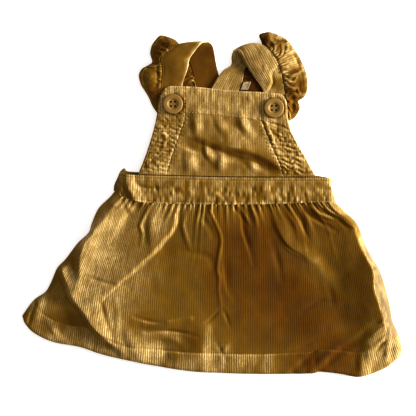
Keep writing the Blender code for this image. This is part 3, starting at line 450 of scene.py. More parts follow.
# Radius and height of half a button's section, from the middle of its top to its underside.
BUTTON_PROFILE = [(0.0, 1.5), (2.5, 1.5), (4.0, 1.52), (4.7, 1.85), (5.4, 2.5), (6.0, 2.72),
                  (7.6, 2.8), (8.8, 2.78), (9.3, 2.65), (9.8, 2.2), (10.0, 1.5), (9.5, 0.6),
                  (8.4, 0.1), (7.0, 0.0), (0.0, 0.0)]
# How far a hole lies from the button's middle, each way, and its radius.
HOLE_OFFSET = 2.1
HOLE_RADIUS = 1.05

# The label: strap sections that it lies between, how far it starts from the right strap, its
# width and how far it lies above the strap's plane.
LABEL_SECTIONS = (11.88, 12.28)
LABEL_START = 1.2
LABEL_WIDTH = 7.5
LABEL_RISE = 1.3


# ---------------------------------------------------------------- curves and noise

def catmull(points, places):
    """Catmull-Rom curve through the points; places count them, 0 at the first."""
    points = np.asarray(points, float)
    last = len(points) - 1
    index = np.clip(np.asarray(places).astype(int), 0, last - 1)
    s = (places - index)[..., None]
    b, c = points[index], points[index + 1]
    a = np.where((index > 0)[..., None], points[np.maximum(index - 1, 0)], 2 * b - c)
    d = np.where((index + 2 <= last)[..., None], points[np.minimum(index + 2, last)], 2 * c - b)
    return 0.5 * (2 * b + (c - a) * s + (2 * a - 5 * b + 4 * c - d) * s * s
                  + (3 * b - a - 3 * c + d) * s ** 3)


def even_line(points, steps=24):
    """The curve through the points as a function of the share of its length, 0 to 1."""
    count = steps * (len(points) - 1) + 1
    dense = catmull(points, np.linspace(0, len(points) - 1, count))
    run = np.concatenate([[0], np.cumsum(np.hypot(*np.diff(dense, axis=0).T))])

    def at(share):
        wanted = np.clip(share, 0, 1) * run[-1]
        return np.stack([np.interp(wanted, run, dense[:, k]) for k in (0, 1)], axis=-1)

    return at


def patch(top, bottom, left, right):
    """Places between four edge lines: u from left to right, v from top to bottom."""
    top, bottom, left, right = (even_line(edge) for edge in (top, bottom, left, right))

    def at(u, v):
        u, v = np.broadcast_arrays(u, v)
        a, b = u[..., None], v[..., None]
        edges = top(u) * (1 - b) + bottom(u) * b + left(v) * (1 - a) + right(v) * a
        return (edges - (top(0.0) * (1 - a) + top(1.0) * a) * (1 - b)
                - (bottom(0.0) * (1 - a) + bottom(1.0) * a) * b)

    return at


def distance(spots, others):
    return np.linalg.norm(spots - others, axis=-1)


def ease(x):
    """A smooth step: 0 up to x = 0, 1 from x = 1."""
    x = np.clip(x, 0.0, 1.0)
    return x * x * (3 - 2 * x)


def fading(gap, reach):
    """1 where the gap is 0, dying away over the reach."""
    return np.exp(-gap / reach)


def line_at(gap, place, width):
    """1 along the line where the gap equals place, dying away over the width beside it."""
    return np.exp(-((gap - place) / width) ** 2)


def rounded(gap, reach):
    """The quarter round of a rolled edge: 0 at the edge, 1 from the reach on."""
    return np.sin(0.5 * np.pi * np.minimum(gap / reach, 1.0))


def crests(phase):
    """A wave from 0 to 1 with its crests at whole phases."""
    return 0.5 + 0.5 * np.cos(2 * np.pi * phase)


def noise(x, y, seed):
    """Smooth values from -1 to 1 that change once for each whole step of x and y."""
    table = np.random.default_rng(seed).uniform(-1, 1, (64, 64))
    x, y = np.broadcast_arrays(np.asarray(x, float), np.asarray(y, float))
    column, row = np.floor(x).astype(int), np.floor(y).astype(int)
    a, b = ease(x - column), ease(y - row)
    west, east, south, north = column % 64, (column + 1) % 64, row % 64, (row + 1) % 64
    low = table[south, west] * (1 - a) + table[south, east] * a
    high = table[north, west] * (1 - a) + table[north, east] * a
    return low * (1 - b) + high * b


def drawn(number, seed):
    """One value from 0 to 1 for each whole number."""
    return 0.5 + 0.5 * noise(number, 0.5, seed)


# ---------------------------------------------------------------- folds

def fold_shape(fold, x, y):
    """What one fold adds at each place: its sideways move and its height."""
    points = np.asarray(fold.line, float)
    line = catmull(points, np.linspace(0, len(points) - 1, 6 * (len(points) - 1) + 1))
    nearest = np.full(x.shape, np.inf)
    side, run, east_x, east_y = (np.zeros(x.shape) for _ in range(4))
    travelled = 0.0
    for here, there in zip(line, line[1:]):
        step = there - here
        length = math.hypot(*step)
        along = np.clip(((x - here[0]) * step[0] + (y - here[1]) * step[1]) / length ** 2, 0, 1)
        dx, dy = x - here[0] - step[0] * along, y - here[1] - step[1] * along
        away = np.hypot(dx, dy)
        closer = away < nearest
        nearest = np.where(closer, away, nearest)
        side = np.where(closer, (step[0] * dy - step[1] * dx) / length, side)
        run = np.where(closer, travelled + length * along, run)
        east_x = np.where(closer, -step[1] / length, east_x)
        east_y = np.where(closer, step[0] / length, east_y)
        travelled += length
    east_share = 0.5 + 0.5 * side / np.maximum(nearest, 1e-6)
    reach = fold.west + (fold.east - fold.west) * east_share
    share = 2 * run / travelled
    height = np.where(share < 1, fold.start + (fold.middle - fold.start) * ease(share),
                      fold.middle + (fold.end - fold.middle) * ease(share - 1))
    away = np.minimum(nearest / reach, 1)
    bell = 0.5 + 0.5 * np.cos(np.pi * away)
    bell += fold.pinch * ((1 - away) ** 1.7 - bell)
    lean = -fold.lean * bell * height / fold.middle
    return np.stack([lean * east_x, lean * east_y, height * bell], axis=-1)


def relief(folds, spots):
    """The sum of the folds at spots (x, y): how far each moves in x, y and height."""
    total = np.zeros(spots.shape[:-1] + (3,))
    for fold in folds:
        line = np.asarray(fold.line, float)
        reach = max(fold.west, fold.east)
        near = np.all((spots > line.min(0) - reach) & (spots < line.max(0) + reach), axis=-1)
        if near.any():
            total[near] += fold_shape(fold, spots[near, 0], spots[near, 1])
    return total


# ---------------------------------------------------------------- the dress's surfaces
# Each function gives points in mm at (u, v), which run from 0 to 1 across and down a piece.

def raised(spots, height, move=None):
    """Points at a height over the spots, moved sideways with their folds."""
    points = np.concatenate([spots, np.asarray(height)[..., None]], axis=-1)
    if move is not None:
        points[..., :2] += move[..., :2]
    return points


SKIRT_ACROSS = patch([(x, y + SEWN_IN) for x, y in WAIST_SEAM], HEM, SKIRT_LEFT, SKIRT_RIGHT)
WAIST_ACROSS = patch(WAIST_TOP, WAIST_SEAM, WAIST_LEFT, WAIST_RIGHT)
WAIST_LENGTH = WAIST_TOP[-1][0] - WAIST_TOP[0][0]
BACK_WAIST_ACROSS = patch(BACK_WAIST_TOP, WAIST_SEAM, BACK_WAIST_LEFT, WAIST_RIGHT)


def hem_place(u, down):
    """How far places on the skirt lie from its hem, and how far inside its hem band."""
    foot = SKIRT_ACROSS(u, 1.0)
    hem_gap = distance(SKIRT_ACROSS(u, down), foot)
    return hem_gap, np.interp(foot[..., 0], *zip(*HEM_BAND)) - hem_gap


def gather_wave(u, down):
    """Gathers along the waist, of uneven height and length."""
    total = 0.0
    for gather in GATHERS:
        phase = gather.count * u + 0.5 * noise(gather.count * u * 0.55, 0, gather.seed)
        number = np.round(phase)
        height = gather.low + (gather.high - gather.low) * drawn(number, gather.seed + 1)
        length = gather.near + gather.far * drawn(number, gather.seed + 2) ** 3
        total = total + crests(phase) ** 1.3 * height * fading(down, length)
    return total * ease(np.minimum(u, 1 - u) * 24)


def skirt_front_at(u, v):
    """The gathered front: its swells, folds and turned-up hem, rolled down at its sides."""
    down = v ** ROW_SPREAD
    spots = SKIRT_ACROSS(u, down)
    x, y = spots[..., 0], spots[..., 1]
    hem_gap, in_band = hem_place(u, down)
    # gathers under the band, the dip at its seam, and soft swells
    height = FRONT_HEIGHT - GATHER_DROP - 0.2 * ease(down / 0.3) + gather_wave(u, down)
    height -= 0.9 * fading(distance(spots, SKIRT_ACROSS(u, 0.0)), 1.4)
    height += noise(x / 9, y / 70, 11) * 0.35 * fading(down, 0.3) * ease(down / 0.08)
    height += 0.25 * np.sin(2 * np.pi * 5.5 * u) * down
    height += 0.25 * noise(x / 22, y / 30, 21) + 0.09 * noise(x / 6, y / 9, 22) * ease(down * 6)
    # crumples of the lower right corner
    crumpled = np.exp(-((x - 172) / 20) ** 2 - ((y + 135) / 38) ** 2)
    height += 0.35 * crumpled * noise(x / 4, y / 5, 24)
    move = relief(SKIRT_FOLDS, spots)
    height += move[..., 2]
    # turned-up hem: a doubled band with a groove where it is stitched down
    step = 0.3 + 0.7 * ease((x + 150) / 40)
    height += step * ease(in_band / 1.2 + 0.5) * (0.45 + 0.32 * noise(x / 4.5, hem_gap / 12, 31))
    height -= step * 0.45 * line_at(in_band, -0.4, 0.9)
    side = np.minimum(distance(spots, SKIRT_ACROSS(0.0, down)),
                      distance(spots, SKIRT_ACROSS(1.0, down)))
    roll, hem_roll = rounded(side, SIDE_ROLL), 0.6 + 0.4 * rounded(hem_gap, HEM_ROLL)
    height = LOWEST_FRONT + np.maximum(height - LOWEST_FRONT, 0.0) * roll * hem_roll
    inside = ease(np.minimum(side, hem_gap) / 6.0)[..., None]
    return raised(spots, height, move * inside)


def skirt_back_at(u, v):
    """The back, flat on the floor and just inside the front's outline."""
    inset = BACK_INSET / distance(SKIRT_ACROSS(0.0, v), SKIRT_ACROSS(1.0, v))
    spots = SKIRT_ACROSS(inset + u * (1 - 2 * inset), v * BACK_LENGTH)
    return raised(spots, np.full(u.shape, BACK_HEIGHT))


def waistband_front_at(u, v):
    """The doubled band, puckered by its stitches and rolled down at its ends."""
    spots = WAIST_ACROSS(u, v)
    x, y = spots[..., 0], spots[..., 1]
    height = FRONT_HEIGHT + relief(WAIST_FOLDS, spots)[..., 2]
    # puckers that the stitches draw up, stronger towards the gathered skirt
    puckers = 0.35 * np.sin(2 * np.pi * x / 6.4 + 3.6 * noise(x / 9, y / 18, 41))
    puckers += 1.9 * noise(x / 2.1, y / 5, 43) + 1.6 * noise(x / 4.2, y / 5, 44)
    uneven = 0.6 + 0.4 * noise(x / 14, y / 9, 42)
    height += 0.42 * puckers * uneven * (0.25 + 0.75 * ease((v - 0.15) / 0.5))
    height -= 0.30 * line_at(v, 0.13, 0.035) + 0.25 * line_at(v, 0.93, 0.03)
    end_height = BACK_BAND_WALL + GAP + BAND_WALL / 2
    roll = rounded(np.minimum(u, 1 - u) * WAIST_LENGTH, BAND_ROLL)
    return raised(spots, end_height + (height - end_height) * roll)


def waistband_back_at(u, v):
    """The band behind, flat on the floor."""
    return raised(BACK_WAIST_ACROSS(u, v), np.full(u.shape, BACK_BAND_WALL / 2))


def bib_hem_line(x):
    """Height up the dress of the stitch line of the bib's turned-down top."""
    return 91.0 - 0.05 * (x + 26) - 0.0007 * (x + 26) ** 2


def bib_surface(edges, seams, wrinkled):
    """A panel of the bib; seams says which of its left and right sides is sewn to another.

    A wrinkled one is creased all over.
    """
    across = patch(*edges)

    def at(u, v):
        width = distance(across(0.0, v), across(1.0, v))
        spots = across(u, v)
        spots[..., 1] += SEAM_GAP * v
        x, y = spots[..., 0], spots[..., 1]
        move = relief(BIB_FOLDS, spots) * ease((1 - v) / 0.12)[..., None]
        # the turned-down top is doubled, and puckered by its stitches
        upper = ease((y - bib_hem_line(x)) / 1.2 + 0.5)
        height = 0.12 * noise(x / 4.3, y / 12, 51) + 0.2 * noise(x / 15, y / 18, 52)
        puckers = 0.3 * np.sin(2 * np.pi * x / 9.0 + 3.4 * noise(x / 8, y / 16, 55))
        puckers += noise(x / 2.6, y / 7, 58) + 0.9 * noise(x / 5, y / 6, 60)
        height += upper * (0.45 + 0.32 * puckers * (0.6 + 0.4 * noise(x / 12, y / 8, 59)))
        if wrinkled:
            creases = np.sin(2 * np.pi * (y / 4.6 + x / 30) + 3.4 * noise(x / 7, y / 7, 53))
            uneven = 0.55 + 0.45 * noise(x / 6, y / 8, 54)
            lower = 1 - ease((y - 60) / 30)
            height += (0.34 + 0.2 * lower) * creases * uneven * (1 - 0.5 * upper)
            height += (0.25 + 0.25 * lower) * noise(x / 2.4, y / 2.2, 56) * (1 - upper)
        for sewn, gap in zip(seams, (u * width, (1 - u) * width)):
            if sewn:
                beads = np.cos(2 * np.pi * y / 3.9 + 2.5 * noise(x / 20, y / 8, 57))
                height += 0.32 * beads * line_at(gap, 1.8, 1.3) * (1 - 0.8 * upper)
                height -= 0.5 * fading(gap, 0.7) * (1 - 0.7 * upper)
            else:
                height -= 0.7 * fading(gap, 1.2) + 0.2 * line_at(gap, 2.6, 0.6)
        top_gap = v * BIB_LENGTH
        height -= 0.7 * fading(top_gap, 1.0) + 0.2 * line_at(top_gap, 2.4, 0.6)
        # the cloth dips round and under each button
        for x_button, y_button in BUTTON_CENTRES.values():
            away = np.hypot(x - x_button, y - y_button)
            height -= 0.7 * line_at(away, 10.2, 1.6) + 0.5 * np.exp(-(away / 9) ** 4)
        total = FRONT_HEIGHT + 0.1 + move[..., 2] + height * ease((1 - v) / 0.05)
        return raised(spots, total)

    return at


def bib_bottom(start, end):
    """The waistband's top edge between two lengthwise places."""
    shares = [(x - WAIST_TOP[0][0]) / WAIST_LENGTH for x in (start, (start + end) / 2, end)]
    return [tuple(spot) for spot in even_line(WAIST_TOP)(np.array(shares))]


SEAM_FOOT_LEFT, SEAM_FOOT_RIGHT = BIB_SEAM_LEFT[-1][0], BIB_SEAM_RIGHT[-1][0]
# Which of a panel's left and right sides is sewn to another panel.
BIB_SEWN = {"bib_centre": (True, True), "bib_side_left": (False, True),
            "bib_side_right": (True, False)}
BIB_OUTLINES = {
    "bib_centre": (BIB_TOP, bib_bottom(SEAM_FOOT_LEFT, SEAM_FOOT_RIGHT),
                   BIB_SEAM_LEFT, BIB_SEAM_RIGHT),
    "bib_side_left": (SIDE_TOP_LEFT, bib_bottom(BIB_EDGE_LEFT[-1][0], SEAM_FOOT_LEFT),
                      BIB_EDGE_LEFT, BIB_SEAM_LEFT),
    "bib_side_right": (SIDE_TOP_RIGHT, bib_bottom(SEAM_FOOT_RIGHT, BIB_EDGE_RIGHT[-1][0]),
                       BIB_SEAM_RIGHT, BIB_EDGE_RIGHT),
}
BIB_SURFACES = {name: bib_surface(outline, BIB_SEWN[name], name != "bib_centre")
                for name, outline in BIB_OUTLINES.items()}


def strap_point(sections, place, across):
    """A place on a strap: across is 0 at the neck side and 1 at the ruffle side."""
    row = catmull(sections, place)
    neck, ruffle, height, bow = row[..., 0:2], row[..., 2:4], row[..., 4], row[..., 5]
    spots = neck + (ruffle - neck) * across[..., None]
    spots[..., 1] += bow * 4 * across * (1 - across)
    return raised(spots, np.maximum(height, STRAP_WALL / 2))


def strap_surface(sections):
    """A strap, crowned where it is free and with its folds on the front half only."""
    last = len(sections) - 1

    def at(u, v):
        points = strap_point(sections, v * last, u)
        height = points[..., 2]
        free = ease((height - 3.0) / 3.0)
        front = ease((SHOULDER - v * last) / 0.8)
        crown = 0.35 * np.sin(np.pi * u) + 0.12 * noise(u * 5, v * 40, 61)
        height += crown * free + relief(STRAP_FOLDS, points[..., :2])[..., 2] * front
        edge = np.minimum(u, 1 - u) * STRAP_WIDTH
        height -= (0.8 * fading(edge, 1.3) + 0.2 * line_at(edge, 2.4, 0.6)) * free
        return points

    return at


def beside_strap(sections, place, away):
    """A place in the strap's plane, a little way out from its ruffle side."""
    edge = strap_point(sections, place, np.ones_like(place))
    out = edge - strap_point(sections, place, np.full_like(place, 0.8))
    return edge + out / np.linalg.norm(out, axis=-1, keepdims=True) * away[..., None]


def ruffle_surface(frills, sections, seed, depth, beads):
    """A ruffle: deep uneven gathers at its seam that die out before its smooth outer hem."""
    last = len(frills) - 1

    def at(u, v):
        place = v * last
        row = catmull(frills, place)
        inner = beside_strap(sections, row[..., 0], row[..., 1] - SEWN_IN)
        points = inner + (row[..., 2:5] - inner) * u[..., None]
        height = points[..., 2]
        wave = np.minimum(row[..., 5], 1.4)
        low_wave = np.minimum(wave, 1)
        # the gathers, each of its own length and height
        wander = 0.55 * noise(place * 0.55, u * 1.6, seed)
        wander += 0.35 * noise(place * 1.3, u * 2.6, seed + 1)
        phase = 0.85 * place + wander * ease(u / 0.25)
        number = np.round(phase)
        reach = 0.66 + 0.26 * noise(number, 0.5, seed + 2)
        tall = 0.8 + 0.5 * noise(number, 0.5, seed + 3)
        die = 1 - ease((u - reach + 0.25) / 0.4)
        height += depth * wave * tall * crests(phase) ** 1.6 * ease(u / 0.08) * die
        # the slow wave of the outer hem, the beads beside the seam and the swell between them
        height += 0.3 * depth * wave * np.cos(2 * np.pi * place) * ease((u - 0.3) / 0.5)
        fine = np.cos(2 * np.pi * (2.7 * place + 0.5 * noise(2 * place, 0, seed + 4)))
        height += beads * low_wave * fine * line_at(u, 0.12, 0.09)
        height += 0.9 * low_wave * np.sin(np.pi * np.clip(u, 0, 1))
        front = ease((0.56 - v) / 0.04) * ease(u / 0.06)
        height += relief(RUFFLE_FOLDS, points[..., :2])[..., 2] * front
        behind = ease((v - 0.6) / 0.05)
        height += relief(RUFFLE_BACK_FOLDS, points[..., :2])[..., 2] * behind
        height += 0.4 * noise(u * 3, place * 0.9, seed + 5) * low_wave
        height -= 0.35 * line_at((1 - u) * RUFFLE_WIDTH, 3.4, 0.6) * low_wave
        np.maximum(height, LOWEST_RUFFLE, out=height)
        return points

    return at


def label_at(u, v):
    """The label, which stands a little off the right strap's plane."""
    start, end = LABEL_SECTIONS
    points = beside_strap(STRAP_RIGHT, start + (end - start) * v, LABEL_START + LABEL_WIDTH * u)
    points[..., 2] += LABEL_RISE + 0.8 * u * np.sin(np.pi * v) + 0.5 * noise(3 * u, 3 * v, 95)
    return points


STRAP_SURFACES = {"strap_left": strap_surface(STRAP_LEFT),
                  "strap_right": strap_surface(STRAP_RIGHT)}
RUFFLE_SURFACES = {"ruffle_left": ruffle_surface(RUFFLE_LEFT, STRAP_LEFT, 71, 0.4, 0.5),
                   "ruffle_right": ruffle_surface(RUFFLE_RIGHT, STRAP_RIGHT, 81, 0.9, 0.7)}


# ---------------------------------------------------------------- meshes

def add_object(name, data):
    thing = bpy.data.objects.new(name, data)
    bpy.context.scene.collection.objects.link(thing)
    return thing


def mesh_of(name, shape):
    """Turns a bmesh into a mesh and frees it."""
    mesh = bpy.data.meshes.new(name)
    shape.to_mesh(mesh)
    shape.free()
    return mesh


def hand_in(piece, node=None):
    """The piece rides on the dress and may replace a node."""
    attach(piece, "root")
    if node:
        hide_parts(node)


def cloth(name, at, grid, wall, material, wales, fade, wale_depth=1.0):
    """A thin wall of cloth over the points at(u, v), with its wales as a UV map in mm."""
    columns, rows = grid
    sheet = bmesh.new()
    bmesh.ops.create_grid(sheet, x_segments=columns, y_segments=rows, size=0.5)
    mesh = mesh_of(name, sheet)
    flat = np.empty(len(mesh.vertices) * 3)
    mesh.vertices.foreach_get("co", flat)
    flat = flat.reshape(-1, 3)
    column = np.round((flat[:, 0] + 0.5) * columns).astype(int)
    row = np.round((0.5 - flat[:, 1]) * rows).astype(int)
    u, v = np.meshgrid(np.linspace(0, 1, columns + 1), np.linspace(0, 1, rows + 1))
    points = at(u, v)
    placed = (points[row, column] + (*CENTRE_SHIFT, 0.0)) * MM
    mesh.vertices.foreach_set("co", placed.ravel())
    corner = np.empty(len(mesh.loops), dtype=np.int32)
    mesh.loops.foreach_get("vertex_index", corner)
    lines = wales(points, u, v)[row, column]
    mesh.uv_layers.new(name="Wales").data.foreach_set("uv", lines[corner].ravel())
    for attribute, values in (("fade", np.clip(fade(points, u, v), -2, 2)[row, column]),
                              ("wale_depth", np.full(len(mesh.vertices), wale_depth))):
        mesh.attributes.new(attribute, "FLOAT", "POINT").data.foreach_set("value", values)
    mesh.shade_smooth()
    mesh.materials.append(material)
    piece = add_object(name, mesh)
    thick = piece.modifiers.new("Wall", "SOLIDIFY")
    thick.thickness = wall * MM
    thick.offset = 0.0
    return piece


def new_piece(name, shape, material):
    """Turns a bmesh in metres into a piece that rides on the dress."""
    mesh = mesh_of(name, shape)
    mesh.shade_smooth()
    mesh.materials.append(material)
    piece = add_object(name, mesh)
    hand_in(piece)
    return piece


# ---------------------------------------------------------------- wales
# Each function gives places in mm, across the wales and along them.

def straight_wales(points, u, v):
    """Wales that run straight up the dress."""
    return points[..., :2].copy()


def run_of(points):
    """How far each point of a line, or of each column of points, lies from its first."""
    steps = np.linalg.norm(np.diff(points, axis=0), axis=-1)
    return np.concatenate([np.zeros((1,) + steps.shape[1:]), np.cumsum(steps, axis=0)])


def along_strap_wales(points, u, v):
    """Wales that run along a strap."""
    width = np.linalg.norm(points[:, -1] - points[:, 0], axis=-1)[:, None]
    run = run_of(points).mean(1)[:, None]
    return np.stack([u * np.median(width) * 1.15, np.broadcast_to(run, u.shape)], axis=-1)


def ruffle_wales(points, u, v):
    """Wales that run out from a ruffle's seam."""
    run = run_of(points[:, points.shape[1] // 2])[:, None]
    return np.stack([np.broadcast_to(run, u.shape), u * 20.0], axis=-1)


def skirt_wales(points, u, v):
    """Upright in the middle, fanning out towards the sides."""
    x, y = points[..., 0], points[..., 1]
    off = x - 35.0
    right = 0.344 * np.maximum(off / 150, 0) ** 2 * (y + 170)
    bend = 0.25 * (y + 170) + 0.75 * np.logaddexp(0, (y + 78) / 8) * 8
    left = -0.45 * np.maximum(-off / 150, 0) ** 2 * bend
    # down the rolled sides the cloth is longer than it looks from above
    real = np.linalg.norm(np.diff(points, axis=1), axis=-1)
    flat = np.linalg.norm(np.diff(points[..., :2], axis=1), axis=-1)
    spare = (real - flat) * ease((np.abs(u[:, 1:] - 0.5) - 0.40) / 0.04)
    spare = np.concatenate([np.zeros((len(u), 1)), np.cumsum(spare, axis=1)], axis=1)
    spare -= spare[:, spare.shape[1] // 2, None]
    return np.stack([x + right + left + spare, y], axis=-1)


# ---------------------------------------------------------------- wear and painted light
# Each value of wear and light is a value at every point: 0 is plain pile, 1 is worn pale pile and
# painted light, 2 is rubbed bare cloth and painted highlights, -1 is painted shade and -2 is
# painted shade as dark as a hollow.

def plain_fade(amount):
    return lambda points, u, v: np.full(u.shape, amount)


def painted_slope_light(points):
    """Painted light by slope: 1 where a slope faces east towards the light, -0.6 of painted shade
    on west slopes.
    """
    across, down = np.gradient(points, axis=1), np.gradient(points, axis=0)
    normal = np.cross(down, across)
    normal *= np.sign(normal[..., 2:3]) + (normal[..., 2:3] == 0)
    slope = (normal @ PAINTED_LIGHT_AXIS) / np.maximum(normal[..., 2], 1e-9)
    return ease(slope / 0.45) - 0.6 * ease(-slope / 0.6)


def painted_patches(points, patches):
    """The sum of the patches of painted light and shade at each point."""
    total = np.zeros(points.shape[:-1])
    for x, y, wide, tall, amount in patches:
        across, up = (points[..., 0] - x) / wide, (points[..., 1] - y) / tall
        total += amount * np.exp(-across * across - up * up)
    return total


def rubbed(base, amount, points):
    """The base nap, rubbed bare by up to amount along an edge, unevenly."""
    uneven = 0.65 + 0.35 * noise(points[..., 0] / 3, points[..., 1] / 3, 91)
    base = np.minimum(base, PALEST_NAP)
    return base + (RUBBED_NAP - base) * amount * uneven


def skirt_wear_and_light(points, u, v):
    """The skirt front's wear and painted light: its hem band, painted light and shade on its slopes
    and in patches, and its right side, rubbed and under painted glare.
    """
    x, y = points[..., 0], points[..., 1]
    down = v ** ROW_SPREAD
    hem_gap, in_band = hem_place(u, down)
    # the hem band is mottled pale, but deep in the shade of the long roll
    band = ease(in_band / 2 + 0.5) * (0.5 + 0.45 * noise(x / 6, y / 14, 95))
    band *= 1 - 1.3 * ease((x - 50) / 40) * ease((152 - x) / 8)
    stitch = 0.35 * line_at(in_band, 0, 1.0) * ease((100 - x) / 20) * ease((x + 105) / 15)
    # painted light on slopes facing the light, painted shade on those facing away, and painted
    # patches
    base = band + stitch + 0.8 * painted_slope_light(points) + painted_patches(points, SKIRT_PAINTED_LIGHT)
    # the far side of that roll, facing the light: rubbed pile under painted glare, mottled along
    # its middle, paler at both its edges, and with plain nap above
    side = distance(SKIRT_ACROSS(1.0, down), SKIRT_ACROSS(u, down))
    past_crest = x - np.interp(-y, -np.array(ROLL_CREST_Y), ROLL_CREST_X)
    share = past_crest / np.maximum(past_crest + side, 1.0)
    middle = ease(share / 0.15) * ease((0.8 - share) / 0.3) * ease((-42 - y) / 16)
    middle *= ease((y + 140) / 12)
    strip = 1.75 - 0.6 * ease((-126 - y) / 14) + middle * (0.1 + 0.4 * noise(x / 2.4, y / 4, 96))
    strip += (0.5 - 0.5 * ease(side / 3) - strip) * ease((y + 44) / 18)
    nap = rubbed(np.minimum(base, 1.0), 0.3 * fading(hem_gap, 0.9), points)
    return nap + (strip - nap) * ease((past_crest + 0.5) / 1.5) * ease((-9 - y) / 4)


def band_wear_and_light(points, u, v):
    """The waistband's nap, mottled, with painted light and shade on its slopes, and rubbed along
    its long edges.
    """
    base = 0.24 + painted_slope_light(points) + 0.45 * noise(points[..., 0] / 5, points[..., 1] / 7, 93)
    return rubbed(base, 0.5 * fading(v, 0.03) + 0.5 * fading(1 - v, 0.03), points)


def bib_wear_and_light(seams):
    """A bib panel's nap: painted light and shade on slopes and in patches, rubbed edges, but no
    seams across the turned-down top.
    """
    def fade(points, u, v):
        x, y = points[..., 0], points[..., 1]
        upper = ease((y - bib_hem_line(x)) / 1.2)
        west, east = (40 * gap + 3 * sewn * upper for sewn, gap in zip(seams, (u, 1 - u)))
        edge = np.minimum(np.minimum(west, east), v * 85)
        base = 0.28 + 0.35 * upper + painted_slope_light(points) + painted_patches(points, BIB_PATCHES)
        base += 0.3 * noise(x / 4.5, y / 8, 92)
        stitched = 0.25 * line_at(y, bib_hem_line(x), 0.8)
        base = rubbed(base, 0.55 * fading(edge, 0.8) + stitched, points)
        # the shade round each button
        for x_button, y_button in BUTTON_CENTRES.values():
            away = np.hypot(x - x_button, y - y_button)
            base -= 2.5 * ease((10.8 - away) / 1.6)
        return base

    return fade


def strap_wear_and_light(front, back, neck_highlight):
    """A strap's painted light and shade: one value on its front half, one on its back half, and a
    painted highlight at the neck edge.
    """
    def fade(points, u, v):
        base = front + (back - front) * ease((v - 0.5) / 0.06)
        # a painted highlight along the neck edge
        edge = neck_highlight * (fading(u, 0.06) + 0.2 * fading(u, 0.14)) * ease((0.56 - v) / 0.05)
        base += 0.5 * painted_slope_light(points) + 0.25 * noise(points[..., 0] / 5, points[..., 1] / 6, 94)
        return np.minimum(base, 1.0) + edge + painted_patches(points, STRAP_PATCHES) * (v < 0.62)

    return fade


def ruffle_wear_and_light(front, back, rim):
    """A ruffle's nap: painted highlights on the crests of its gathers, paler along its hem, painted
    shade behind.
    """
    def fade(points, u, v):
        height = points[..., 2]
        around = 0.25 * (np.roll(height, 4, 0) + np.roll(height, -4, 0)
                         + np.roll(height, 9, 0) + np.roll(height, -9, 0))
        on_front = ease((0.62 - v) / 0.06)
        base = back + (front - back) * on_front
        # painted highlights on the gathers' crests and painted shade in their hollows
        crest = 0.55 * np.clip(height - around, -1.2, 1.2)
        crest += 0.3 * noise(points[..., 0] / 2.2, points[..., 1] / 2.2, 97)
        base = np.minimum(base + crest + 0.5 * painted_slope_light(points), 0.9)
        edge = rim * line_at(1 - u, 0, 0.25) * on_front
        return (base + edge + painted_patches(points, RUFFLE_PATCHES) * on_front
                + painted_patches(points, RUFFLE_BACK_PATCHES) * (1 - on_front))

    return fade


# ---------------------------------------------------------------- stitches

def crossing(us, vs, rising):
    """For each u, the one of the vs at which rising(u, v) comes up to 0."""
    u, v = np.meshgrid(us, vs)
    values = rising(u, v)
    return np.array([np.interp(0.0, values[:, k], vs) for k in range(len(us))])


def stitch_row(threads, at, us, vs, length=2.2, gap=1.0, radius=0.2, rise=0.7):
    """A row of stitches on the surface at(u, v), along the path through (us, vs)."""
    us, vs = np.broadcast_arrays(np.asarray(us, float), np.asarray(vs, float))
    points = at(us, vs) + (*CENTRE_SHIFT, rise)
    run = run_of(points)
    for start in np.arange(gap, run[-1] - length, length + gap):
        first, last = (Vector([np.interp(place, run, points[:, k]) for k in range(3)])
                       for place in (start, start + length))
        turn = (last - first).to_track_quat("X", "Z").to_matrix().to_4x4()
        size = Matrix.Diagonal((length * 0.52 * MM, radius * MM, radius * MM, 1.0))
        shape = Matrix.Translation((first + last) / 2 * MM) @ turn @ size
        bmesh.ops.create_icosphere(threads, subdivisions=1, radius=1.0, matrix=shape)


def sew(name, rows):
    """One piece with all the stitch rows: a list of what stitch_row takes after its threads."""
    threads = bmesh.new()
    for at, us, vs, how in rows:
        stitch_row(threads, at, us, vs, **how)
    colour = bpy.context.scene.dress_colours.thread
    return new_piece(name, threads, thread("mustard_thread", colour))


# ---------------------------------------------------------------- materials

def add_node(tree, kind, **settings):
    node = tree.nodes.new(kind)
    for name, value in settings.items():
        setattr(node, name, value)
    return node


def feed(tree, socket, value):
    """Links another socket's value to a socket, or sets it to a number or a colour."""
    if isinstance(value, bpy.types.NodeSocket):
        tree.links.new(value, socket)
    elif isinstance(value, tuple):
        socket.default_value = (*value, 1.0)
    else:
        socket.default_value = value


def math_node(tree, operation, *values, clamp=False):
    """Maths on numbers and other sockets, which fill the node's inputs in order."""
    node = add_node(tree, "ShaderNodeMath", operation=operation, use_clamp=clamp)
    for socket, value in zip(node.inputs, values):
        feed(tree, socket, value)
    return node.outputs[0]


def mix_colours(tree, factor, first, second, blend="MIX"):
    node = add_node(tree, "ShaderNodeMix", data_type="RGBA", blend_type=blend)
    for place, value in ((0, factor), (6, first), (7, second)):
        feed(tree, node.inputs[place], value)
    return node.outputs[2]


def object_place(tree):
    return add_node(tree, "ShaderNodeTexCoord").outputs["Object"]


def grain(tree, vector, scale, detail=2.0, roughness=0.5):
    """Noise from 0 to 1 over a vector, with a feature every 1/scale of it."""
    node = add_node(tree, "ShaderNodeTexNoise")
    for name, value in (("Vector", vector), ("Scale", scale), ("Detail", detail),
                        ("Roughness", roughness)):
        feed(tree, node.inputs[name], value)
    return node.outputs["Fac"]


# Grain over a cloth's wales: features per mm across them and along them, detail and seed.
WALE_GRAIN = {"wander": (0.12, 0.05, 2.0, 1), "tufts": (1.6, 0.7, 3.0, 2),
              "streaks": (0.3, 0.09, 3.0, 3), "flattened": (0.07, 0.05, 2.0, 4),
              "flecks": (0.9, 0.35, 2.0, 5)}


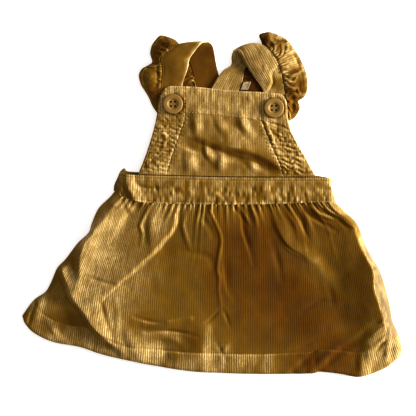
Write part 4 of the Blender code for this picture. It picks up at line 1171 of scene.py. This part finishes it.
def wale_group():
    """Corduroy's wales: cut pile ridges with painted shade in the valleys, uneven pile, worn
    streaks, and painted light and shade.
    """
    tree = bpy.data.node_groups.new("Corduroy wales", "ShaderNodeTree")
    for flow, kind, names in (("INPUT", "Color", ("Pile", "Valley", "Faded", "Bare")),
                              ("INPUT", "Float", ("Wale pitch", "Wale depth", "Fade")),
                              ("OUTPUT", "Color", ("Colour",)),
                              ("OUTPUT", "Float", ("Height",))):
        for name in names:
            tree.interface.new_socket(name, in_out=flow, socket_type="NodeSocket" + kind)
    given = add_node(tree, "NodeGroupInput").outputs
    results = add_node(tree, "NodeGroupOutput").inputs
    lines = add_node(tree, "ShaderNodeUVMap", uv_map="Wales").outputs[0]

    def calc(operation, *values, clamp=False):
        return math_node(tree, operation, *values, clamp=clamp)

    def wale_grain(name):
        across, along, detail, seed = WALE_GRAIN[name]
        spread = add_node(tree, "ShaderNodeMapping")
        spread.inputs["Location"].default_value = (seed * 7.3, seed * 3.1, 0.0)
        spread.inputs["Scale"].default_value = (across, along, 1.0)
        tree.links.new(lines, spread.inputs["Vector"])
        return grain(tree, spread.outputs[0], 1.0, detail, 0.6)

    # the ridges wander a little, and lie flatter in patches
    across = add_node(tree, "ShaderNodeSeparateXYZ")
    tree.links.new(lines, across.inputs[0])
    wander = calc("MULTIPLY", calc("SUBTRACT", wale_grain("wander"), 0.5), 2.2)
    turns = calc("DIVIDE", calc("ADD", across.outputs[0], wander), given["Wale pitch"])
    wave = calc("COSINE", calc("MULTIPLY", turns, 2 * math.pi))
    upright = calc("MULTIPLY_ADD", wale_grain("flattened"), 1.9, -0.25, clamp=True)
    wave = calc("MULTIPLY", calc("MULTIPLY", wave, upright), given["Wale depth"])
    ridge = calc("MULTIPLY_ADD", wave, 0.5, 0.5)
    round_ridge = calc("POWER", ridge, 0.6)
    tufts = wale_grain("tufts")
    height = calc("ADD", round_ridge, calc("MULTIPLY", tufts, 0.5))
    tree.links.new(height, results["Height"])

    # the pile is paler in streaks and flecks, most of all on the ridges, where the value of wear
    # and painted light is above 0
    patches = grain(tree, object_place(tree), 55.0, 3.0)
    wear = calc("ADD", wale_grain("streaks"), calc("MULTIPLY", patches, 0.5))
    wear = calc("MULTIPLY", calc("SUBTRACT", wear, 0.38), 2.2)
    on_ridge = calc("MULTIPLY_ADD", calc("POWER", ridge, 1.6), 1.15, 0.12)
    flecks = calc("MULTIPLY_ADD", wale_grain("flecks"), 3.0, -1.0, clamp=True)
    flecks = calc("MULTIPLY_ADD", flecks, 0.7, 0.6)
    pale = calc("MULTIPLY", calc("MULTIPLY", given["Fade"], wear), on_ridge)
    pale = calc("MULTIPLY", pale, flecks, clamp=True)
    colour = mix_colours(tree, round_ridge, given["Valley"], given["Pile"])
    colour = mix_colours(tree, pale, colour, given["Faded"])
    # above 1 the colour turns to that of rubbed bare edges and painted highlights
    bare = calc("SUBTRACT", given["Fade"], 1.0, clamp=True)
    colour = mix_colours(tree, bare, colour, given["Bare"])

    # a value below 0 is painted shade that deepens the colour, and one below -1 is painted shade as
    # dark as a hollow
    painted_shade = calc("MULTIPLY", given["Fade"], -1.0, clamp=True)
    painted_hollow_shade = calc("SUBTRACT", -1.0, given["Fade"], clamp=True)
    for factor, tint in ((painted_shade, (0.69, 0.54, 0.28)), (painted_hollow_shade, (0.40, 0.32, 0.28))):
        colour = mix_colours(tree, factor, colour, tint, "MULTIPLY")
    shade = calc("MULTIPLY", calc("MULTIPLY_ADD", patches, 0.7, 0.65),
                 calc("MULTIPLY_ADD", tufts, 0.6, 0.7))
    tree.links.new(mix_colours(tree, 1.0, colour, shade, "MULTIPLY"), results["Colour"])
    return tree


def new_material(name, settings):
    """A material with these settings on its shader, its node tree and the shader's sockets."""
    material = bpy.data.materials.new(name)
    material.use_nodes = True
    sockets = material.node_tree.nodes["Principled BSDF"].inputs
    for socket, value in settings.items():
        feed(material.node_tree, sockets[socket], value)
    return material, material.node_tree, sockets


def add_bump(tree, sockets, height, depth):
    """Bumps in the shader's normal, as deep as depth in metres."""
    bump = add_node(tree, "ShaderNodeBump")
    bump.inputs["Strength"].default_value = 1.0
    bump.inputs["Distance"].default_value = depth
    tree.links.new(height, bump.inputs["Height"])
    tree.links.new(bump.outputs[0], sockets["Normal"])


# Each corduroy: the colour of its rubbed bare edges, painted highlights and painted glare, and how
# light it is as a whole.
CORDUROYS = {"mustard_corduroy": ("bare", 1.0), "mustard_corduroy_skirt": ("rubbed_and_glare", 1.0),
             "mustard_corduroy_inside": ("bare", 0.75)}


def corduroy(name):
    """One of the corduroys, made the first time that it is asked for."""
    if name in bpy.data.materials:
        return bpy.data.materials[name]
    dress, colours = bpy.context.scene.dress, bpy.context.scene.dress_colours
    bare, lightness = CORDUROYS[name]
    material, tree, sockets = new_material(name, {
        "Roughness": 0.9, "Specular IOR Level": 0.15, "Sheen Weight": 0.25,
        "Sheen Roughness": 0.4, "Sheen Tint": (1.0, 0.87, 0.64)})
    group = bpy.data.node_groups.get("Corduroy wales") or wale_group()
    wales = add_node(tree, "ShaderNodeGroup", node_tree=group)
    for socket, colour in (("Pile", colours.pile), ("Valley", colours.valley),
                           ("Faded", colours.faded), ("Bare", getattr(colours, bare))):
        feed(tree, wales.inputs[socket], tuple(channel * lightness for channel in colour))
    wales.inputs["Wale pitch"].default_value = dress.wale_pitch / MM
    for socket, attribute in (("Fade", "fade"), ("Wale depth", "wale_depth")):
        value = add_node(tree, "ShaderNodeAttribute", attribute_name=attribute)
        tree.links.new(value.outputs["Fac"], wales.inputs[socket])
    add_bump(tree, sockets, wales.outputs["Height"], dress.wale_height)
    tree.links.new(wales.outputs["Colour"], sockets["Base Color"])
    return material


def clouded(tree, factor, colour, darker):
    """The colour, in places darker by that share."""
    return mix_colours(tree, factor, tuple(channel * darker for channel in colour), tuple(colour))


def thread(name, colour):
    """Twisted sewing thread; a name is made once."""
    if name in bpy.data.materials:
        return bpy.data.materials[name]
    material, tree, sockets = new_material(name, {"Roughness": 0.6, "Sheen Weight": 0.1})
    twist = add_node(tree, "ShaderNodeTexWave", bands_direction="DIAGONAL")
    twist.inputs["Scale"].default_value = 900.0
    twist.inputs["Distortion"].default_value = 1.0
    tree.links.new(object_place(tree), twist.inputs["Vector"])
    tree.links.new(clouded(tree, twist.outputs["Fac"], colour, 0.6), sockets["Base Color"])
    return material


def button_plastic(colour):
    """Moulded plastic, a little cloudy, with fine scuffs."""
    material, tree, sockets = new_material("mustard_button_plastic", {"Specular IOR Level": 0.4})
    cloud = grain(tree, object_place(tree), 260.0)
    scuffs = grain(tree, object_place(tree), 900.0)
    tree.links.new(clouded(tree, cloud, colour, 0.8), sockets["Base Color"])
    tree.links.new(math_node(tree, "MULTIPLY_ADD", scuffs, 0.25, 0.38), sockets["Roughness"])
    add_bump(tree, sockets, scuffs, 0.00004)
    return material


def woven_label(colour):
    """Plain woven tape, with nothing on it."""
    material, tree, sockets = new_material("blank_label_cloth", {"Roughness": 0.7})
    weave = add_node(tree, "ShaderNodeTexChecker")
    weave.inputs["Scale"].default_value = 2500.0
    feed(tree, weave.inputs["Color1"], tuple(colour))
    feed(tree, weave.inputs["Color2"], tuple(channel * 0.82 for channel in colour))
    tree.links.new(object_place(tree), weave.inputs["Vector"])
    tree.links.new(weave.outputs["Color"], sockets["Base Color"])
    return material


# ---------------------------------------------------------------- settings

class DressSettings(bpy.types.PropertyGroup):
    wale_pitch: FloatProperty(
        name="Wale pitch", description="Distance from one wale to the next",
        default=0.0023, min=0.0005, unit="LENGTH")
    wale_height: FloatProperty(
        name="Wale height", description="Depth of the valleys between the wales",
        default=0.00015, min=0.0, unit="LENGTH")
    skirt_columns: IntProperty(
        name="Skirt columns", description="Grid columns across the front of the skirt",
        default=256, min=64, max=280)
    skirt_rows: IntProperty(
        name="Skirt rows", description="Grid rows from the waist to the hem",
        default=176, min=40, max=180)
    camera_height: FloatProperty(
        name="Camera height", description="Camera above the cloth", default=0.95,
        min=0.2, unit="LENGTH")
    key_power: FloatProperty(
        name="Side light", description="Power of the low light from the right",
        default=48.0, min=0.0, unit="POWER")


def colour_setting(name, description, default):
    return FloatVectorProperty(name=name, description=description, subtype="COLOR", size=3,
                               default=default)


class DressColours(bpy.types.PropertyGroup):
    pile: colour_setting("Pile", "Mustard of the wales", (0.184, 0.1035, 0.013))
    # painted shade in the grooves between the wales
    valley: colour_setting("Valley", "Brown between the wales", (0.130, 0.069, 0.0075))
    # worn pile, also used as painted light on slopes facing the light and in painted patches
    faded: colour_setting("Faded", "Worn, paler pile", (0.63, 0.465, 0.22))
    # rubbed bare edges, also used for painted highlights
    bare: colour_setting("Bare", "Edges where the pile is rubbed off", (0.66, 0.55, 0.36))
    # painted glare on the rubbed side of the skirt that faces the light
    rubbed_and_glare: colour_setting("Rubbed and glare", "Rubbed side of the skirt, turned to the light",
                          (0.150, 0.106, 0.051))
    thread: colour_setting("Thread", "Sewing thread", (0.48, 0.33, 0.14))
    button: colour_setting("Button", "Button plastic", (0.255, 0.152, 0.036))
    button_thread: colour_setting("Button thread", "Thread that holds the buttons",
                                  (0.26, 0.17, 0.04))
    # darker than the label's cream tape: painted shade for where it lies beside the strap
    label: colour_setting("Label", "Blank label", (0.36, 0.27, 0.155))


# ---------------------------------------------------------------- operators

class DRESS_OT_stage(bpy.types.Operator):
    """Lay the pale floor, and set the camera above it and the lights"""
    bl_idname = "dress.stage"
    bl_label = "Stage"

    def execute(self, context):
        scene = context.scene
        sheet = bmesh.new()
        bmesh.ops.create_grid(sheet, x_segments=1, y_segments=1, size=3.0)
        bmesh.ops.translate(sheet, verts=sheet.verts, vec=(0, 0, -0.0002))
        floor = add_object("floor", mesh_of("floor", sheet))
        # a faint glow, so that the dress leaves next to no shadow
        floor.data.materials.append(new_material("pale_floor", {
            "Base Color": (0.93, 0.93, 0.93), "Roughness": 0.95, "Specular IOR Level": 0.1,
            "Emission Color": (1.0, 1.0, 1.0), "Emission Strength": 0.32})[0])

        eye = bpy.data.cameras.new("camera")
        eye.sensor_width = 36.0
        eye.lens = eye.sensor_width * scene.dress.camera_height / VIEW_WIDTH
        camera = add_object("camera", eye)
        camera.location = (*VIEW_CENTRE, scene.dress.camera_height + FRONT_HEIGHT * MM)
        scene.camera = camera

        key = bpy.data.lights.new("side_light", "AREA")
        key.shape = "RECTANGLE"
        key.size, key.size_y = 0.8, 0.5
        key.energy = scene.dress.key_power
        key.color = (1.0, 0.96, 0.88)
        lamp = add_object("side_light", key)
        elevation, turn, away = math.radians(18), math.radians(8), 1.5
        lamp.location = (away * math.cos(elevation) * math.cos(turn),
                         away * math.cos(elevation) * math.sin(turn),
                         away * math.sin(elevation))
        lamp.rotation_euler = Vector(lamp.location).to_track_quat("Z", "Y").to_euler()

        world = bpy.data.worlds.new("studio")
        scene.world = world
        world.use_nodes = True
        sky = world.node_tree.nodes["Background"]
        sky.inputs["Color"].default_value = (1.0, 0.98, 0.95, 1.0)
        sky.inputs["Strength"].default_value = 0.46
        scene.view_settings.view_transform = "Standard"
        scene.view_settings.look = "High Contrast"
        return {"FINISHED"}


class DRESS_OT_skirt(bpy.types.Operator):
    """Make the gathered front of the skirt and its back"""
    bl_idname = "dress.skirt"
    bl_label = "Skirt"

    def execute(self, context):
        grid = (context.scene.dress.skirt_columns, context.scene.dress.skirt_rows)
        front = cloth("skirt_front_cloth", skirt_front_at, grid, CLOTH_WALL,
                      corduroy("mustard_corduroy_skirt"), skirt_wales, skirt_wear_and_light)
        hand_in(front, "skirt_front")
        back = cloth("skirt_back_cloth", skirt_back_at, GRIDS["skirt_back"], CLOTH_WALL,
                     corduroy("mustard_corduroy_inside"), skirt_wales, plain_fade(0.2))
        hand_in(back, "skirt_back")
        span = np.linspace(0.01, 0.99, 400)
        over_hem = crossing(span, np.linspace(0.7, 1.0, 200),
                            lambda u, v: hem_place(u, v ** ROW_SPREAD)[1])
        sewn = {"rise": CLOTH_WALL / 2 - 0.04, "radius": 0.13, "length": 1.7}
        stitches = sew("hem_stitches", [(skirt_front_at, span, over_hem, sewn)])
        return {"FINISHED"}


class DRESS_OT_waistband(bpy.types.Operator):
    """Make the doubled waistband's front and back"""
    bl_idname = "dress.waistband"
    bl_label = "Waistband"

    def execute(self, context):
        front = cloth("waistband_front_cloth", waistband_front_at, GRIDS["waistband_front"],
                      BAND_WALL, corduroy("mustard_corduroy"), straight_wales, band_wear_and_light,
                      WALE_DEPTHS["waistband_front"])
        hand_in(front, "waistband_front")
        back = cloth("waistband_back_cloth", waistband_back_at, GRIDS["waistband_back"],
                     BACK_BAND_WALL, corduroy("mustard_corduroy_inside"), straight_wales,
                     plain_fade(0.3))
        hand_in(back, "waistband_back")
        span = np.linspace(0.01, 0.99, 400)
        stitches = sew("waistband_stitches", [
            (waistband_front_at, span, v, {"rise": BAND_WALL / 2 - 0.02})
            for v in (0.055, 0.145, 0.94)])
        return {"FINISHED"}


def bib_rows(name, at):
    """Two rows inside the top edge, the bold one of the turned-down top, and the sides' own."""
    us, vs = np.linspace(0.02, 0.98, 200), np.linspace(0.03, 0.97, 200)

    def under_hem(u, v):
        points = at(u, v)
        return -(points[..., 1] - bib_hem_line(points[..., 0]) - 0.6)

    sewn = {"rise": CLOTH_WALL / 2}
    bold = {"rise": CLOTH_WALL / 2 + 0.1, "radius": 0.32, "gap": 1.2}
    rows = [(at, us, 0.018, sewn), (at, us, 0.045, sewn),
            (at, us, crossing(us, np.linspace(0, 1, 241), under_hem), bold)]
    sides = {"bib_centre": (), "bib_side_left": (0.07, 0.17), "bib_side_right": (0.1, 0.84, 0.93)}
    rows += [(at, side, vs, sewn) for side in sides[name]]
    if name == "bib_side_left":
        rows.append((at, 0.9, vs[50:], sewn))
    return rows


class DRESS_OT_bib(bpy.types.Operator):
    """Make the bib's middle panel and its two side panels"""
    bl_idname = "dress.bib"
    bl_label = "Bib"

    def execute(self, context):
        cord = corduroy("mustard_corduroy")
        for name, at in BIB_SURFACES.items():
            panel = cloth(name + "_cloth", at, GRIDS[name], CLOTH_WALL, cord, straight_wales,
                          bib_wear_and_light(BIB_SEWN[name]), WALE_DEPTHS["bib"])
            hand_in(panel, name)
            sew(name + "_stitches", bib_rows(name, at))
        return {"FINISHED"}


class DRESS_OT_straps(bpy.types.Operator):
    """Make the two shoulder straps and the ruffles in their outer edges"""
    bl_idname = "dress.straps"
    bl_label = "Straps and ruffles"

    def execute(self, context):
        cord = corduroy("mustard_corduroy")
        for name, at in STRAP_SURFACES.items():
            strap = cloth(name + "_cloth", at, GRIDS["strap"], STRAP_WALL, cord,
                          along_strap_wales, strap_wear_and_light(*STRAP_PAINTED_LIGHT[name]), WALE_DEPTHS[name])
            hand_in(strap, name)
            span = np.linspace(0.01, 0.55, 300)
            sewn = {"rise": STRAP_WALL / 2 - 0.05, "radius": 0.15, "length": 1.6}
            stitches = sew(name + "_stitches", [(at, 0.08, span, sewn),
                                                (at, 0.93, span[:260], sewn)])
        for name, at in RUFFLE_SURFACES.items():
            ruffle = cloth(name + "_cloth", at, GRIDS["ruffle"], RUFFLE_WALL, cord,
                           ruffle_wales, ruffle_wear_and_light(*RUFFLE_PAINTED_LIGHT[name]), WALE_DEPTHS[name])
            hand_in(ruffle, name)
            sewn = {"rise": RUFFLE_WALL / 2 - 0.02, "radius": 0.13, "length": 1.2}
            stitches = sew(name + "_stitches", [(at, 0.86, np.linspace(0.01, 0.58, 400), sewn)])
        return {"FINISHED"}


class DRESS_OT_label(bpy.types.Operator):
    """Make the small blank label inside the neck"""
    bl_idname = "dress.label"
    bl_label = "Label"

    def execute(self, context):
        blank = woven_label(context.scene.dress_colours.label)
        label = cloth("label_cloth_piece", label_at, GRIDS["label"], LABEL_WALL, blank,
                      straight_wales, plain_fade(0.0))
        hand_in(label, "label")
        return {"FINISHED"}


def turned_shape():
    """A button turned from its section: a rolled rim round a dished middle."""
    shape = bmesh.new()
    profile = catmull(BUTTON_PROFILE, np.linspace(0, len(BUTTON_PROFILE) - 1, 57))
    corners = [shape.verts.new((max(radius, 0.0) * MM, 0.0, height * MM))
               for radius, height in profile]
    for here, there in zip(corners, corners[1:]):
        shape.edges.new((here, there))
    bmesh.ops.spin(shape, geom=shape.verts[:] + shape.edges[:], cent=(0, 0, 0), axis=(0, 0, 1),
                   angle=2 * math.pi, steps=72, use_merge=True)
    bmesh.ops.remove_doubles(shape, verts=shape.verts, dist=1e-6)
    bmesh.ops.recalc_face_normals(shape, faces=shape.faces)
    return shape


def hole_pins():
    """Four pins where the holes of a button go."""
    pins = bmesh.new()
    for dx in (-HOLE_OFFSET, HOLE_OFFSET):
        for dy in (-HOLE_OFFSET, HOLE_OFFSET):
            pin = bmesh.ops.create_cone(pins, cap_ends=True, segments=20, depth=8 * MM,
                                        radius1=HOLE_RADIUS * MM, radius2=HOLE_RADIUS * MM)
            bmesh.ops.translate(pins, verts=pin["verts"], vec=Vector((dx, dy, 0.0)) * MM)
    return pins


def drill(piece, pins):
    """Cuts the pins out of a piece."""
    cutter = add_object("pins", mesh_of("pins", pins))
    cut = piece.modifiers.new("Holes", "BOOLEAN")
    cut.operation = "DIFFERENCE"
    cut.object = cutter
    depsgraph = bpy.context.evaluated_depsgraph_get()
    drilled = bpy.data.meshes.new_from_object(piece.evaluated_get(depsgraph))
    piece.modifiers.clear()
    piece.data = drilled
    bpy.data.objects.remove(cutter)
    drilled.set_sharp_from_angle(angle=math.radians(50))


def crossed_threads(seat):
    """Thread from hole to hole, two strands each way."""
    threads = bmesh.new()
    reach = HOLE_OFFSET * math.sqrt(2)
    for turn in (45, -45):
        for side in (-0.2, 0.2):
            bar = Matrix.Translation(seat + Vector((0.0, 0.0, 1.3 * MM)))
            bar = bar @ Matrix.Rotation(math.radians(turn), 4, "Z")
            bar = bar @ Matrix.Translation((0.0, side * MM, 0.0))
            bar = bar @ Matrix.Diagonal((reach * 0.8 * MM, 0.2 * MM, 0.3 * MM, 1.0))
            bmesh.ops.create_icosphere(threads, subdivisions=2, radius=1.0, matrix=bar)
    return threads


class DRESS_OT_buttons(bpy.types.Operator):
    """Turn the two four-hole buttons and sew them on"""
    bl_idname = "dress.buttons"
    bl_label = "Buttons"

    def execute(self, context):
        colours = context.scene.dress_colours
        plastic = button_plastic(colours.button)
        for name, (x, y) in BUTTON_CENTRES.items():
            seat = Vector((x + CENTRE_SHIFT[0], y + CENTRE_SHIFT[1], BUTTON_SEAT)) * MM
            shape, pins = turned_shape(), hole_pins()
            for part in (shape, pins):
                bmesh.ops.translate(part, verts=part.verts, vec=seat)
            button = new_piece(name + "_turned", shape, plastic)
            drill(button, pins)
            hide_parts(name)
            new_piece(name + "_thread", crossed_threads(seat),
                      thread("olive_thread", colours.button_thread))
        return {"FINISHED"}


class DRESS_PT_panel(bpy.types.Panel):
    """Sizes, colours and the pieces of the dress"""
    bl_idname = "DRESS_PT_panel"
    bl_label = "Pinafore Dress"
    bl_space_type = "VIEW_3D"
    bl_region_type = "UI"
    bl_category = "Dress"

    def draw(self, context):
        for group in (context.scene.dress, context.scene.dress_colours):
            for name in group.__annotations__:
                self.layout.prop(group, name)
        for operator in OPERATORS:
            self.layout.operator(operator.bl_idname)


OPERATORS = (DRESS_OT_stage, DRESS_OT_skirt, DRESS_OT_waistband, DRESS_OT_bib,
             DRESS_OT_straps, DRESS_OT_label, DRESS_OT_buttons)
CLASSES = (DressSettings, DressColours) + OPERATORS + (DRESS_PT_panel,)


def register():
    for cls in CLASSES:
        bpy.utils.register_class(cls)
    bpy.types.Scene.dress = PointerProperty(type=DressSettings)
    bpy.types.Scene.dress_colours = PointerProperty(type=DressColours)


def unregister():
    del bpy.types.Scene.dress_colours
    del bpy.types.Scene.dress
    for cls in reversed(CLASSES):
        bpy.utils.unregister_class(cls)


def main():
    register()
    for operator in OPERATORS:
        group, name = operator.bl_idname.split(".")
        getattr(getattr(bpy.ops, group), name)()


if __name__ == "__main__":
    main()
